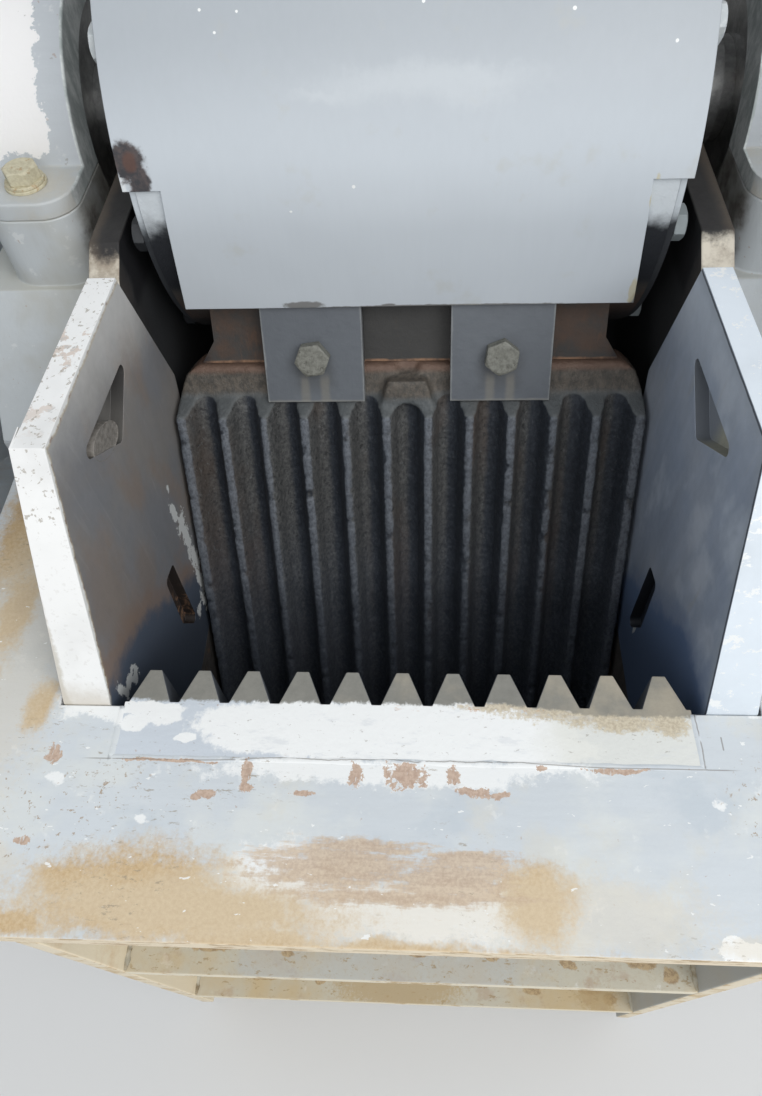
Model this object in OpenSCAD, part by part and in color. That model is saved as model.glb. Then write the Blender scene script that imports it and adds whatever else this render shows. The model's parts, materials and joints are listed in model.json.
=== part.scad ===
/* [Frame] */
// Distance from the hub axis to the rear ends of the side walls
rear_reach = 317; // [300:1:340]
// Height of the feed flange's top above the ground
wall_h = 800; // [780:5:840]
// Thickness of the side walls and of the ribs
wall_t = 20; // [16:1:25]
// Thickness of the front wall behind the fixed jaw
front_wall_t = 40; // [30:1:50]
// Thickness of the rear wall
rear_wall_t = 40; // [30:1:50]
// Distance of the rear wall from the rear ends of the side walls
rear_set_in = 47; // [40:1:60]
// Thickness of the feed flange round the mouth
flange_t = 30; // [24:1:34]
// How far the feed flange stands out past the side walls
flange_out = 145; // [130:5:160]
// Distance from the fixed tooth crests to the front edge of the flange
front_reach = 253; // [240:1:270]
// Thickness of the base flanges
foot_t = 30; // [24:1:36]
// Width of the base flanges
foot_w = 170; // [150:5:190]
// Depth of the stiffening ribs on the side walls
rib_out = 90; // [70:5:110]
// Distance of the side ribs' ends from the ends of the side walls
rib_set_in = 80; // [75:5:100]
// Distance of the base flanges' ends from the ends of the side walls
foot_set_in = 100; // [95:5:120]
// Distance of the end gussets from the ends of the side walls
gusset_end = 165; // [120:5:200]
// Distance of the upper ribs below the top of the flange
rib_drop_1 = 290; // [270:5:310]
// Distance of the lower ribs below the top of the flange
rib_drop_2 = 640; // [600:5:660]
// Distance between the anchor bolts across the machine
anchor_x = 850; // [840:2:880]
// Distance between the anchor bolts along the machine
anchor_y = 880; // [800:10:900]
// Diameter of the anchor holes
anchor_d = 33; // [26:1:36]

/* [Crushing chamber] */
// Gap between the fixed jaw plate and each cheek plate
fixed_side_gap = 14; // [12:1:17]
// Thickness of the cheek plates
cheek_t = 30; // [25:1:34]
// Distance between neighbouring teeth
tooth_pitch = 52; // [50:0.5:52]
// Height of the teeth
tooth_h = 35; // [28:1:40]
// Width of a fixed tooth at its crest
tooth_crest = 13; // [10:1:16]
// Width of the flat at the bottom of a valley
valley_w = 9; // [6:1:12]
// Number of teeth on the fixed jaw
fixed_teeth = 11; // [9:2:11]
// Thickness of the fixed jaw plate with its teeth
fixed_plate_t = 92; // [85:1:100]
// Height of the fixed jaw plate
fixed_plate_h = 555; // [500:5:580]
// Gap between the jaws at the moving crests' top ends
gape = 328; // [325:1:340]
// Height of the moving crests' top ends above the flange
crest_rise = 28; // [20:1:36]
// Angle of the moving jaw's face from the upright
nip_angle = 25; // [24:0.25:26]
// Height of a cheek plate above the flange
cheek_rise = 262; // [250:1:270]
// Depth below the flange of the joint between upper and lower cheek plates
cheek_split = 285; // [270:5:300]

/* [Moving jaw plate] */
// Thickness of the moving jaw plate with its teeth
moving_plate_t = 90; // [85:1:100]
// Length of the toothed face
moving_face_len = 616; // [600:2:620]
// Length of the plain land above the teeth
land_len = 57; // [50:1:64]
// Length of the bevel on the end of each tooth
tooth_bevel = 19; // [12:1:22]
// Width of a moving tooth at its crest
moving_crest = 10; // [8:1:14]
// Radius at the bottom of a valley between the moving teeth
valley_r = 14; // [10:0.5:15]

/* [Swing jaw] */
// Distance from the fixed tooth crests back to the hub axis
hub_back = 690; // [680:2:700]
// Height of the hub axis above the flange
hub_rise = 250; // [244:1:256]
// Radius of the hub's end rims
hub_rim_r = 290; // [280:1:292]
// Radius of the hub between its rims
hub_core_r = 230; // [215:1:245]
// Radius of the hub's bore
hub_bore_r = 100; // [90:1:105]
// Width of each clamp tab
tab_w = 123; // [110:1:130]
// Distance of a clamp tab's middle from the machine's middle
tab_x = 115; // [110:1:125]
// Thickness of a clamp tab
tab_t = 16; // [12:1:18]
// Thickness of the head guard sheet
guard_t = 5; // [3:0.5:6]
// How far the head guard reaches past each end of the hub
guard_overhang = 12; // [10:1:13]
// How much narrower the head guard's apron is on each side at its upper end
apron_inset = 40; // [30:1:45]
// How much wider the apron is on each side at its lower edge than at its upper end
apron_flare = 11; // [0:1:15]
// Distance of the apron's lower edge below the hub axis
apron_drop = 103; // [90:1:108]

/* [Eccentric shaft and wheels] */
// Eccentric throw
throw = 10; // [8:0.5:12]
// Radius of the shaft where the bearings sit
journal_r = 60; // [55:1:65]
// Radius of the shaft ends
shaft_end_r = 50; // [45:1:54]
// Outer radius of the bearings
bearing_r = 130; // [120:1:135]
// Outer radius of the bearing caps
cap_r = 176; // [172:1:184]
// Width of the bearing housings
housing_w = 116; // [112:1:120]
// How far a pedestal stands out past the outer face of its bearing housing
pedestal_ledge = 35; // [20:1:45]
// Outer radius of the flywheel and the pulley
wheel_r = 600; // [560:5:620]
// Width of the flywheel and the pulley
wheel_w = 190; // [170:2:200]
// Gap between a bearing housing and the wheel beside it
wheel_gap = 67; // [55:1:80]
// Number of belt grooves on the pulley
belt_grooves = 6; // [4:1:6]

/* [Toggle and tension rod] */
// Slope of the toggle plate
toggle_angle = 14.25; // [12:0.25:15]
// Radius of the toggle plate's rounded ends
toggle_end_r = 25; // [23:0.5:26]
// Thickness of the toggle plate
toggle_t = 34; // [30:1:35]
// Width of the toggle plate
toggle_w = 440; // [400:5:450]
// Thickness of the adjusting block behind the toggle's rear seat
adjusting_t = 90; // [70:1:100]
// Radius of the tension rod
rod_r = 18; // [15:1:20]
// Slope of the tension rod
rod_angle = 6; // [5:0.5:8]
// Outer radius of the tension spring
spring_r = 52; // [46:1:56]
// Wire radius of the tension spring
wire_r = 8; // [6:0.5:9]
// Turns of the tension spring
spring_turns = 7; // [5:1:8]

/* [Clearances] */
// Gap between seated pieces that are round or slanted
seat_gap = 0.3; // [0.2:0.05:0.4]
// Gap between the moving jaw plate and each cheek
plate_side_gap = 6; // [5:0.5:8]
// Gap between each end of the hub and the line of the cheek plates' faces
hub_side_gap = 20; // [18:1:30]
// Radial clearance of the hub on the eccentric
running_gap = 0.05; // [0.02:0.01:0.1]

/* [Hidden] */
$fn = 64;

// Main planes
fixed_w = fixed_teeth * tooth_pitch;
mouth_w = fixed_w + 2 * fixed_side_gap;
frame_len = front_reach + hub_back + rear_reach;
front_y = -frame_len / 2;
rear_y = frame_len / 2;
tip_y = front_y + front_reach;
fixed_back_y = tip_y - fixed_plate_t;
cheek_in = mouth_w / 2;
wall_in = cheek_in + cheek_t;
wall_out = wall_in + wall_t;
flange_edge = wall_out + flange_out;
rear_wall_y = rear_y - rear_set_in - rear_wall_t;
rear_wall_low = foot_t + 120;
rear_rib_drop = 70;
foot_margin = 30;

// Jaw plates
tooth_base = tooth_pitch - valley_w;
moving_teeth = fixed_teeth + 1;
moving_w = mouth_w - 2 * plate_side_gap;
plate_gap = 2;
notch_y = tip_y - tooth_h - 5;
rest_h = 40;
rest_inset = 20;

// Where the moving jaw's face lies
crest_y = tip_y + gape;
crest_z = wall_h + crest_rise;
function face_at(depth, up) = [
    crest_y + depth * cos(nip_angle) + up * sin(nip_angle),
    crest_z - depth * sin(nip_angle) + up * cos(nip_angle)
];

// Upper cheek plate: front corner, nose, top and rear corners as (y, z)
cheek_front = notch_y + 1;
cheek_nose = [tip_y + 85, wall_h + cheek_rise];
cheek_top = [tip_y + gape, wall_h + cheek_rise - 14];
cheek_back = [crest_y + 57, wall_h + 50];
cheek_tail = [crest_y + 22, wall_h - 100];
cheek_foot = [crest_y - 50, wall_h - cheek_split];
stay_len = 25;
stay_tip = 2;
stay_slot = 46;
stay_gap = 3;
pocket_depth = 15;
pocket_r = 8;

// Side wall: its step beside the pedestals and the pad behind the cheek plates
rise_y = tip_y + 300;
wall_step = [tip_y + 342, wall_h + 185];
wall_shoulder = [tip_y + 365, wall_h + 215];
wall_top_y = tip_y + 400;
pad_t = 15;
pad_gap = 5;

// Hub, shaft and bearings
hub_y = tip_y + hub_back;
hub_z = wall_h + hub_rise;
hub_w = mouth_w - 2 * hub_side_gap;
shaft_z = hub_z - throw;
housing_step = 27;
housing_in = wall_out + housing_step;
housing_out = housing_in + housing_w;
housing_mid = (housing_in + housing_out) / 2;
housing_round = 40;
bearing_set_in = 15;
shaft_gap_r = 78;
shoulder_r = 70;
cap_flange_t = 22;
cap_flange_half = 250;
cap_bolt_y = 210;
cap_bolt_r = 12.5;
cap_bolt_depth = 90;
cap_bolt_af = 36;
cap_washer_r = 24;
cap_washer_t = 8;
cover_r = bearing_r + 25;
cover_t = 14;
seal_gap = 14;

// Flywheel and pulley
wheel_in = housing_out + wheel_gap;
wheel_out = wheel_in + wheel_w;
shaft_half = wheel_out + 50;
wheel_rim_t = 100;
wheel_hub_r = 115;
wheel_draft = 12;
wheel_edge = 5;
web_t = 40;
web_hole_r = 70;
web_hole_at = 310;
web_holes = 6;
retainer_t = 20;
retainer_rim = 30;
groove_pitch = 25.5;
groove_depth = 22;
groove_top = 18;
groove_bottom = 9;

// Bearing pedestals
pedestal_front = tip_y + 315;
pedestal_out = housing_out + pedestal_ledge;
ramp_top_y = tip_y + 432;
ramp_h = 150;
ramp_tail = 60;
block_front = hub_y - cap_flange_half;
block_rear = hub_y + cap_flange_half;

// Swing jaw
jaw_half = moving_w / 2 - 50;
jaw_bottom = -600;
land_depth = tooth_h;
pad_h = 12;
upper_depth = land_depth + pad_h;
slab_t = 75;
rim_w = 40;
rib_w = 30;
rib_bays = [-jaw_half, -90, 60, jaw_half - rib_w];
flare = 18;
flare_h = 28;
tab_chamfer = 10;
tab_low = tooth_bevel * (tooth_h - tab_chamfer) / tooth_h + seat_gap;
tab_high = 175;
clamp_bolt_up = 73;
clamp_bolt_r = 13;
clamp_bolt_af = 36;
clamp_head_h = 16;
clamp_shank = 55;
hub_cover_t = 8;
hub_cover_gap = 5;
hub_cover_inset = 2;
cover_bolts = 9;
cover_bolt_first = 13;
cover_bolt_af = 34;
cover_bolt_h = 14;
cover_bolt_at = hub_rim_r - 20;
guard_in_r = hub_rim_r + seat_gap;
guard_out_r = guard_in_r + guard_t;
guard_w = hub_w + 2 * guard_overhang;
apron_w = guard_w - 2 * apron_inset;
guard_back_angle = 20;
apron_rise = 50;

// Toggle plate, its seats and the stack behind it
toggle_front = face_at(230, -500);
seat_back = 70;
seat_lip = 13;
seat_half = 45;
seat_half_w = 235;
jaw_groove_r = toggle_end_r + 5;
shim_t = 10;
shim_count = 4;
shim_inset = 15;
shim_rise = 30;
seat_rear_t = 57;
block_half_h = 60;
shelf_t = 30;
block_rear_y = rear_wall_y - shim_count * shim_t;
seat_rear_y = block_rear_y - adjusting_t - seat_rear_t;
toggle_len = (seat_rear_y + seat_lip - toggle_front[0]) / cos(toggle_angle);
function toggle_at(along, up) = [
    toggle_front[0] + along * cos(toggle_angle) - up * sin(toggle_angle),
    toggle_front[1] + along * sin(toggle_angle) + up * cos(toggle_angle)
];
toggle_rear = toggle_at(toggle_len, 0);

// Tension rod
pin_at = toggle_at(-30, -112);
pin_r = 15;
pin_head = 8;
eye_r = 30;
eye_rim = 16;
eye_hole = [pin_at[0] - 10, pin_at[1] + 5.6];
eye_t = 30;
lug_in = eye_t / 2 + 5;
lug_t = 25;
rod_hole_r = rod_r + 8;
spring_len = 200;
plate_t = 12;
plate_rim = 8;
nut_h = 30;
nut_af = 52;
rod_tail = 90;
bracket_len = 120;
bracket_half = spring_r + 12;
spring_from = (rear_y + 14 - eye_hole[0]) / cos(rod_angle);
rod_len = spring_from + spring_len + rod_tail;

// Draws a profile given as (y, z) between two x positions
module side_slab(x0, x1) {
    translate([x0, 0, 0])
        rotate([90, 0, 90])
            linear_extrude(height = x1 - x0)
                children();
}

// A bar along x
module x_rod(r, x0, x1, y, z) {
    translate([x0, y, z])
        rotate([0, 90, 0])
            cylinder(r = r, h = x1 - x0);
}

// A box given by its two corners
module block(low, high) {
    translate(low)
        cube(high - low);
}

// Makes a piece on the right and its twin on the left
module left_twin() {
    mirror([1, 0, 0])
        children();
}

// Moves a piece onto the moving jaw's face: y runs into the jaw, z up along the face
module on_face() {
    translate([0, crest_y, crest_z])
        rotate([-nip_angle, 0, 0])
            children();
}

// Outline of the fixed jaw plate: crests at y = 0, back at y = thickness
module fixed_outline() {
    first = -(fixed_teeth - 1) / 2 * tooth_pitch;
    teeth = [
        for (i = [0:fixed_teeth - 1])
            let (x = first + i * tooth_pitch)
                each [
                    [x - tooth_base / 2, tooth_h], [x - tooth_crest / 2, 0],
                    [x + tooth_crest / 2, 0], [x + tooth_base / 2, tooth_h]
                ]
    ];
    half = fixed_w / 2;
    polygon(concat(
        [[-half, fixed_plate_t], [-half, tooth_h]], teeth, [[half, tooth_h], [half, fixed_plate_t]]
    ));
}

// A valley of the moving plate: a round bottom between slanting sides, open towards y < 0
module valley() {
    mouth = (tooth_pitch - moving_crest) / 2;
    centre = tooth_h - valley_r;
    slant = (mouth - valley_r) / centre;
    translate([0, centre])
        circle(r = valley_r);
    polygon([[-mouth - slant, -1], [mouth + slant, -1], [valley_r, centre], [-valley_r, centre]]);
}

// Outline of the moving jaw plate, with one tooth more than the fixed one
module moving_outline() {
    difference() {
        translate([-moving_w / 2, 0])
            square([moving_w, moving_plate_t]);
        for (i = [0:moving_teeth - 2])
            translate([(i - (moving_teeth - 2) / 2) * tooth_pitch, 0])
                valley();
    }
}

// A rectangle with rounded corners
module rounded_square(low, high, r) {
    translate([low[0] + r, low[1]])
        square([high[0] - low[0] - 2 * r, high[1] - low[1]]);
    translate([low[0], low[1] + r])
        square([high[0] - low[0], high[1] - low[1] - 2 * r]);
    for (x = [low[0] + r, high[0] - r], y = [low[1] + r, high[1] - r])
        translate([x, y])
            circle(r = r);
}

module hex_bolt(shank_r, shank_len, head_af, head_h, washer_r, washer_t) {
    translate([0, 0, -shank_len])
        cylinder(r = shank_r, h = shank_len);
    if (washer_t > 0)
        cylinder(r = washer_r, h = washer_t);
    translate([0, 0, washer_t])
        cylinder(d = head_af / cos(30), h = head_h, $fn = 6);
}

module front_wall() {
    color([0.66, 0.71, 0.74]) {
        block([-wall_in, fixed_back_y - front_wall_t, foot_t], [wall_in, fixed_back_y, wall_h - flange_t]);
        block([-wall_in + rest_inset, fixed_back_y, wall_h - fixed_plate_h - rest_h],
              [wall_in - rest_inset, tip_y - tooth_h, wall_h - fixed_plate_h]);
    }
}

module side_wall_outline() {
    polygon([
        [front_y, foot_t], [rear_y, foot_t], [rear_y, wall_h],
        [hub_y + cap_flange_half, shaft_z], [wall_top_y, shaft_z], wall_shoulder, wall_step,
        [rise_y, wall_h], [rise_y, wall_h - flange_t], [front_y, wall_h - flange_t]
    ]);
}

// The wall with a wear pad on its inner face, just behind the cheek plate
module side_wall() {
    back = [pad_gap, 0];
    difference() {
        union() {
            side_slab(wall_in, wall_out)
                side_wall_outline();
            side_slab(wall_in - pad_t, wall_in)
                intersection() {
                    side_wall_outline();
                    polygon([
                        cheek_top + back, cheek_back + back, cheek_tail + back,
                        [hub_y, cheek_tail[1]], [hub_y, cheek_top[1]]
                    ]);
                }
        }
        x_rod(shaft_gap_r, wall_in - pad_t - 1, wall_out + 1, hub_y, shaft_z);
    }
}

module rear_wall() {
    shelf_top = toggle_rear[1] - block_half_h;
    color([0.66, 0.71, 0.74])
        difference() {
            union() {
                block([-wall_in, rear_wall_y, rear_wall_low], [wall_in, rear_wall_y + rear_wall_t, wall_h]);
                block([-wall_in, seat_rear_y + seat_rear_t, shelf_top - shelf_t],
                      [wall_in, rear_wall_y, shelf_top]);
                difference() {
                    along_rod(spring_from - bracket_len)
                        translate([-bracket_half, -bracket_half, 0])
                            cube([2 * bracket_half, 2 * bracket_half, bracket_len]);
                    block([-wall_in, 0, 0], [wall_in, rear_wall_y, wall_h]);
                }
            }
            along_rod(0)
                cylinder(r = rod_hole_r, h = frame_len);
        }
}

// An outline's right half as points, closed by its mirror image
module both_halves(half) {
    mirrored = [for (i = [len(half) - 1:-1:0]) [-half[i][0], half[i][1]]];
    polygon(concat(half, mirrored));
}

module feed_flange() {
    plate_half = fixed_w / 2 + plate_gap;
    stay_out = wall_out + stay_gap;
    slot_end = notch_y + stay_slot;
    color([0.70, 0.75, 0.78])
        translate([0, 0, wall_h - flange_t])
            linear_extrude(height = flange_t)
                both_halves([
                    [flange_edge, front_y], [flange_edge, pedestal_front], [wall_out, pedestal_front],
                    [wall_out, rise_y], [wall_in, rise_y], [wall_in, slot_end], [stay_out, slot_end],
                    [stay_out, notch_y], [plate_half, notch_y], [plate_half, fixed_back_y]
                ]);
}

// Plates that carry the pedestals, level with the feed flange
module seat_rails() {
    color([0.66, 0.71, 0.74])
        for (side = [0, 1])
            mirror([side, 0, 0])
                block([wall_out, pedestal_front, wall_h - flange_t], [pedestal_out, rear_y, wall_h]);
}

module front_ribs() {
    color([0.72, 0.70, 0.64])
        for (drop = [rib_drop_1, rib_drop_2])
            block([-wall_in, front_y, wall_h - drop - wall_t],
                  [wall_in, fixed_back_y - front_wall_t, wall_h - drop]);
}

module side_rib_pair() {
    for (drop = [rib_drop_1, rib_drop_2])
        block([wall_out, front_y + rib_set_in, wall_h - drop - wall_t],
              [wall_out + rib_out, rear_y - rib_set_in, wall_h - drop]);
}

module side_gusset_row() {
    storeys = [
        [foot_t, wall_h - rib_drop_2 - wall_t],
        [wall_h - rib_drop_2, wall_h - rib_drop_1 - wall_t],
        [wall_h - rib_drop_1, wall_h - flange_t]
    ];
    for (y = [front_y + gusset_end, -wall_t / 2, rear_y - gusset_end - wall_t], z = storeys)
        block([wall_out, y, z[0]], [wall_out + rib_out, y + wall_t, z[1]]);
}

module rear_ribs() {
    color([0.66, 0.71, 0.74])
        for (drop = [rib_drop_1, rear_rib_drop])
            block([-wall_in, rear_wall_y + rear_wall_t, wall_h - drop - wall_t],
                  [wall_in, rear_y, wall_h - drop]);
}

module base_flange() {
    foot_edge = wall_out + rib_out + foot_margin;
    difference() {
        block([foot_edge - foot_w, front_y + foot_set_in, 0], [foot_edge, rear_y - foot_set_in, foot_t]);
        for (side = [-1, 1])
            translate([anchor_x / 2, side * anchor_y / 2, -1])
                cylinder(d = anchor_d, h = foot_t + 2);
    }
}

module fixed_jaw_plate() {
    color([0.42, 0.41, 0.40])
        translate([0, tip_y, wall_h - fixed_plate_h])
            linear_extrude(height = fixed_plate_h)
                mirror([0, 1, 0])
                    fixed_outline();
}

// Outline of a pocket for a wedge bolt, given by its corners as (back from the tooth tips, above the flange)
module wedge_pocket(corners) {
    offset(r = pocket_r, $fn = 24)
        polygon([for (p = corners) [tip_y + p[0], wall_h + p[1]]]);
}

// Tapered stay that holds the cheek's front edge: it stands in a slot of the flange on the side wall
module cheek_stay() {
    foot_z = wall_h - flange_t;
    lean = atan((wall_t - stay_tip) / cheek_rise);
    difference() {
        side_slab(wall_in, wall_out)
            polygon([
                [cheek_front, foot_z], [cheek_front + stay_len, foot_z], [cheek_front + stay_len, wall_h],
                cheek_nose + [stay_len, 0], cheek_nose, [cheek_front, wall_h]
            ]);
        translate([wall_out, front_y, wall_h])
            rotate([0, -lean, 0])
                cube([2 * wall_t, frame_len, 2 * cheek_rise]);
    }
}

module cheek_upper() {
    difference() {
        union() {
            side_slab(cheek_in, wall_in)
                polygon([
                    [cheek_front, cheek_foot[1]], [cheek_front, wall_h], cheek_nose, cheek_top,
                    cheek_back, cheek_tail, cheek_foot
                ]);
            cheek_stay();
        }
        side_slab(cheek_in - 1, cheek_in + pocket_depth) {
            wedge_pocket([[142, 190], [260, 178], [203, 142]]);
            wedge_pocket([[157, -87], [175, -92], [170, -208], [149, -168]]);
        }
    }
}

module cheek_lower() {
    fixed_foot = wall_h - fixed_plate_h;
    side_slab(cheek_in, wall_in)
        polygon([
            [cheek_front, fixed_foot], [cheek_front, cheek_foot[1] - seat_gap],
            cheek_foot - [0, seat_gap], [tip_y + 165, fixed_foot]
        ]);
}

// Bores for the two cap bolts of one housing
module cap_bolt_bores(z0, z1) {
    for (side = [-1, 1])
        translate([housing_mid, hub_y + side * cap_bolt_y, z0])
            cylinder(r = cap_bolt_r + 1, h = z1 - z0);
}

module bearing_seat() {
    difference() {
        union() {
            side_slab(wall_out, pedestal_out)
                polygon([
                    [pedestal_front, wall_h], [rear_y, wall_h], [rear_y - ramp_tail, wall_h + ramp_h],
                    [ramp_top_y, wall_h + ramp_h]
                ]);
            translate([0, 0, wall_h + ramp_h])
                linear_extrude(height = shaft_z - wall_h - ramp_h)
                    rounded_square([housing_in, block_front], [housing_out, block_rear], housing_round);
        }
        x_rod(bearing_r, housing_in, housing_out + 1, hub_y, shaft_z);
        x_rod(cover_r + 5, housing_out, pedestal_out + 1, hub_y, shaft_z);
        x_rod(shaft_gap_r, wall_out - 1, housing_in + 1, hub_y, shaft_z);
        cap_bolt_bores(shaft_z - cap_bolt_depth, shaft_z + 1);
    }
}

module bearing_cap() {
    difference() {
        union() {
            intersection() {
                x_rod(cap_r, housing_in, housing_out, hub_y, shaft_z);
                block([housing_in, hub_y - cap_r, shaft_z], [housing_out, hub_y + cap_r, shaft_z + cap_r]);
            }
            translate([0, 0, shaft_z])
                linear_extrude(height = cap_flange_t)
                    rounded_square([housing_in, hub_y - cap_flange_half],
                                   [housing_out, hub_y + cap_flange_half], housing_round);
        }
        x_rod(bearing_r, housing_in - 1, housing_out + 1, hub_y, shaft_z);
        cap_bolt_bores(shaft_z - 1, shaft_z + cap_flange_t + 1);
    }
}

module cap_bolts() {
    shank = cap_flange_t + cap_bolt_depth - 10;
    color([0.60, 0.58, 0.52])
        for (x = [-housing_mid, housing_mid], side = [-1, 1])
            translate([x, hub_y + side * cap_bolt_y, shaft_z + cap_flange_t])
                hex_bolt(cap_bolt_r, shank, cap_bolt_af, 15, cap_washer_r, cap_washer_t);
}

module bearings() {
    bearing_w = housing_w - 2 * bearing_set_in;
    color([0.55, 0.55, 0.56])
        for (x0 = [housing_in + bearing_set_in, -housing_out + bearing_set_in])
            difference() {
                x_rod(bearing_r - seat_gap, x0, x0 + bearing_w, hub_y, shaft_z);
                x_rod(journal_r + seat_gap, x0 - 1, x0 + bearing_w + 1, hub_y, shaft_z);
            }
}

module bearing_covers() {
    color([0.62, 0.67, 0.70])
        for (x0 = [housing_out, -housing_out - cover_t])
            difference() {
                x_rod(cover_r, x0, x0 + cover_t, hub_y, shaft_z);
                x_rod(shaft_end_r + seal_gap, x0 - 1, x0 + cover_t + 1, hub_y, shaft_z);
            }
}

module eccentric_shaft() {
    eccentric_half = hub_w / 2 + hub_cover_t + 4;
    color([0.50, 0.50, 0.51]) {
        x_rod(hub_bore_r - running_gap, -eccentric_half, eccentric_half, hub_y, hub_z);
        x_rod(shoulder_r, -housing_in + 2, housing_in - 2, hub_y, shaft_z);
        x_rod(journal_r, -housing_out, housing_out, hub_y, shaft_z);
        x_rod(shaft_end_r, -shaft_half, shaft_half, hub_y, shaft_z);
    }
}

// Radial section of a wheel: radius along x, width along y from the housing side
module wheel_section(grooves) {
    bore = shaft_end_r + seat_gap;
    rim_in = wheel_r - wheel_rim_t;
    web_low = (wheel_w - web_t) / 2;
    web_high = (wheel_w + web_t) / 2;
    difference() {
        polygon([
            [bore, 0], [wheel_hub_r - wheel_draft, 0], [wheel_hub_r, web_low], [rim_in - wheel_draft, web_low],
            [rim_in, 0], [wheel_r - wheel_edge, 0], [wheel_r, wheel_edge], [wheel_r, wheel_w - wheel_edge],
            [wheel_r - wheel_edge, wheel_w], [rim_in, wheel_w], [rim_in - wheel_draft, web_high],
            [wheel_hub_r, web_high], [wheel_hub_r - wheel_draft, wheel_w], [bore, wheel_w]
        ]);
        for (i = [0:1:grooves - 1])
            translate([wheel_r, wheel_w / 2 + (i - (grooves - 1) / 2) * groove_pitch])
                polygon([
                    [0.01, -groove_top / 2], [0.01, groove_top / 2],
                    [-groove_depth, groove_bottom / 2], [-groove_depth, -groove_bottom / 2]
                ]);
    }
}

module wheel(grooves) {
    translate([wheel_in, hub_y, shaft_z])
        rotate([0, 90, 0])
            difference() {
                rotate_extrude($fn = 96)
                    wheel_section(grooves);
                for (i = [0:web_holes - 1])
                    rotate([0, 0, i * 360 / web_holes])
                        translate([web_hole_at, 0, -1])
                            cylinder(r = web_hole_r, h = wheel_w + 2);
            }
}

module flywheel() {
    color([0.66, 0.71, 0.74])
        left_twin()
            wheel(0);
}

module pulley() {
    color([0.66, 0.71, 0.74])
        wheel(belt_grooves);
}

module wheel_retainers() {
    color([0.55, 0.55, 0.56])
        for (x0 = [wheel_out, -wheel_out - retainer_t])
            difference() {
                x_rod(shaft_end_r + retainer_rim, x0, x0 + retainer_t, hub_y, shaft_z);
                x_rod(shaft_end_r + seat_gap, x0 - 1, x0 + retainer_t + 1, hub_y, shaft_z);
            }
}

module toggle_plate() {
    color([0.40, 0.39, 0.38]) {
        for (p = [toggle_front, toggle_rear])
            x_rod(toggle_end_r, -toggle_w / 2, toggle_w / 2, p[0], p[1]);
        side_slab(-toggle_w / 2, toggle_w / 2)
            polygon([
                toggle_at(0, -toggle_t / 2), toggle_at(toggle_len, -toggle_t / 2),
                toggle_at(toggle_len, toggle_t / 2), toggle_at(0, toggle_t / 2)
            ]);
    }
}

module toggle_seat_rear() {
    half_h = block_half_h - 8;
    color([0.40, 0.39, 0.38])
        difference() {
            block([-seat_half_w, seat_rear_y, toggle_rear[1] - half_h],
                  [seat_half_w, seat_rear_y + seat_rear_t, toggle_rear[1] + half_h]);
            x_rod(toggle_end_r + seat_gap, -seat_half_w - 1, seat_half_w + 1, toggle_rear[0], toggle_rear[1]);
        }
}

module adjusting_block() {
    color([0.55, 0.55, 0.54])
        block([-seat_half_w, block_rear_y - adjusting_t, toggle_rear[1] - block_half_h],
              [seat_half_w, block_rear_y, toggle_rear[1] + block_half_h]);
}

// A pack of shim plates, drawn as one solid with a shallow groove between neighbours
module shims() {
    groove = 2;
    half_w = seat_half_w - shim_inset;
    low = toggle_rear[1] - block_half_h;
    high = toggle_rear[1] + block_half_h + shim_rise;
    color([0.48, 0.46, 0.44]) {
        for (i = [0:shim_count - 1])
            block([-half_w, block_rear_y + i * shim_t, low],
                  [half_w, block_rear_y + (i + 1) * shim_t - groove, high]);
        block([-half_w + groove, block_rear_y, low], [half_w - groove, rear_wall_y, high - groove]);
    }
}

// Places a piece along the tension rod: z runs backward along the rod
module along_rod(distance) {
    translate([0, eye_hole[0], eye_hole[1]])
        rotate([rod_angle - 90, 0, 0])
            translate([0, 0, distance])
                children();
}

module tension_rod() {
    color([0.45, 0.45, 0.46])
        difference() {
            union() {
                along_rod(eye_r)
                    cylinder(r = rod_r, h = rod_len - eye_r);
                x_rod(eye_r + eye_rim, -eye_t / 2, eye_t / 2, eye_hole[0], eye_hole[1]);
            }
            x_rod(eye_r, -eye_t / 2 - 1, eye_t / 2 + 1, eye_hole[0], eye_hole[1]);
        }
}

// Ring of points on the spring's wire, at a turn's angle
function wire_ring(angle, sides, rise) = [
    for (i = [0:sides - 1])
        let (
            a = i * 360 / sides,
            r = spring_r - wire_r + wire_r * cos(a)
        )
            [r * cos(angle), r * sin(angle), rise * angle / 360 + wire_r * sin(a)]
];

module tension_spring() {
    sides = 8;
    turn_steps = 16;
    steps = spring_turns * turn_steps;
    rise = (spring_len - 2 * wire_r) / spring_turns;
    rings = [for (i = [0:steps]) each wire_ring(i * 360 / turn_steps, sides, rise)];
    walls = [
        for (i = [0:steps - 1], j = [0:sides - 1])
            [i * sides + j, i * sides + (j + 1) % sides,
             (i + 1) * sides + (j + 1) % sides, (i + 1) * sides + j]
    ];
    first_end = [[for (j = [sides - 1:-1:0]) j]];
    last_end = [[for (j = [0:sides - 1]) steps * sides + j]];
    color([0.35, 0.36, 0.38])
        along_rod(spring_from + plate_t + wire_r + seat_gap)
            polyhedron(points = rings, faces = concat(walls, first_end, last_end));
}

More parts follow.
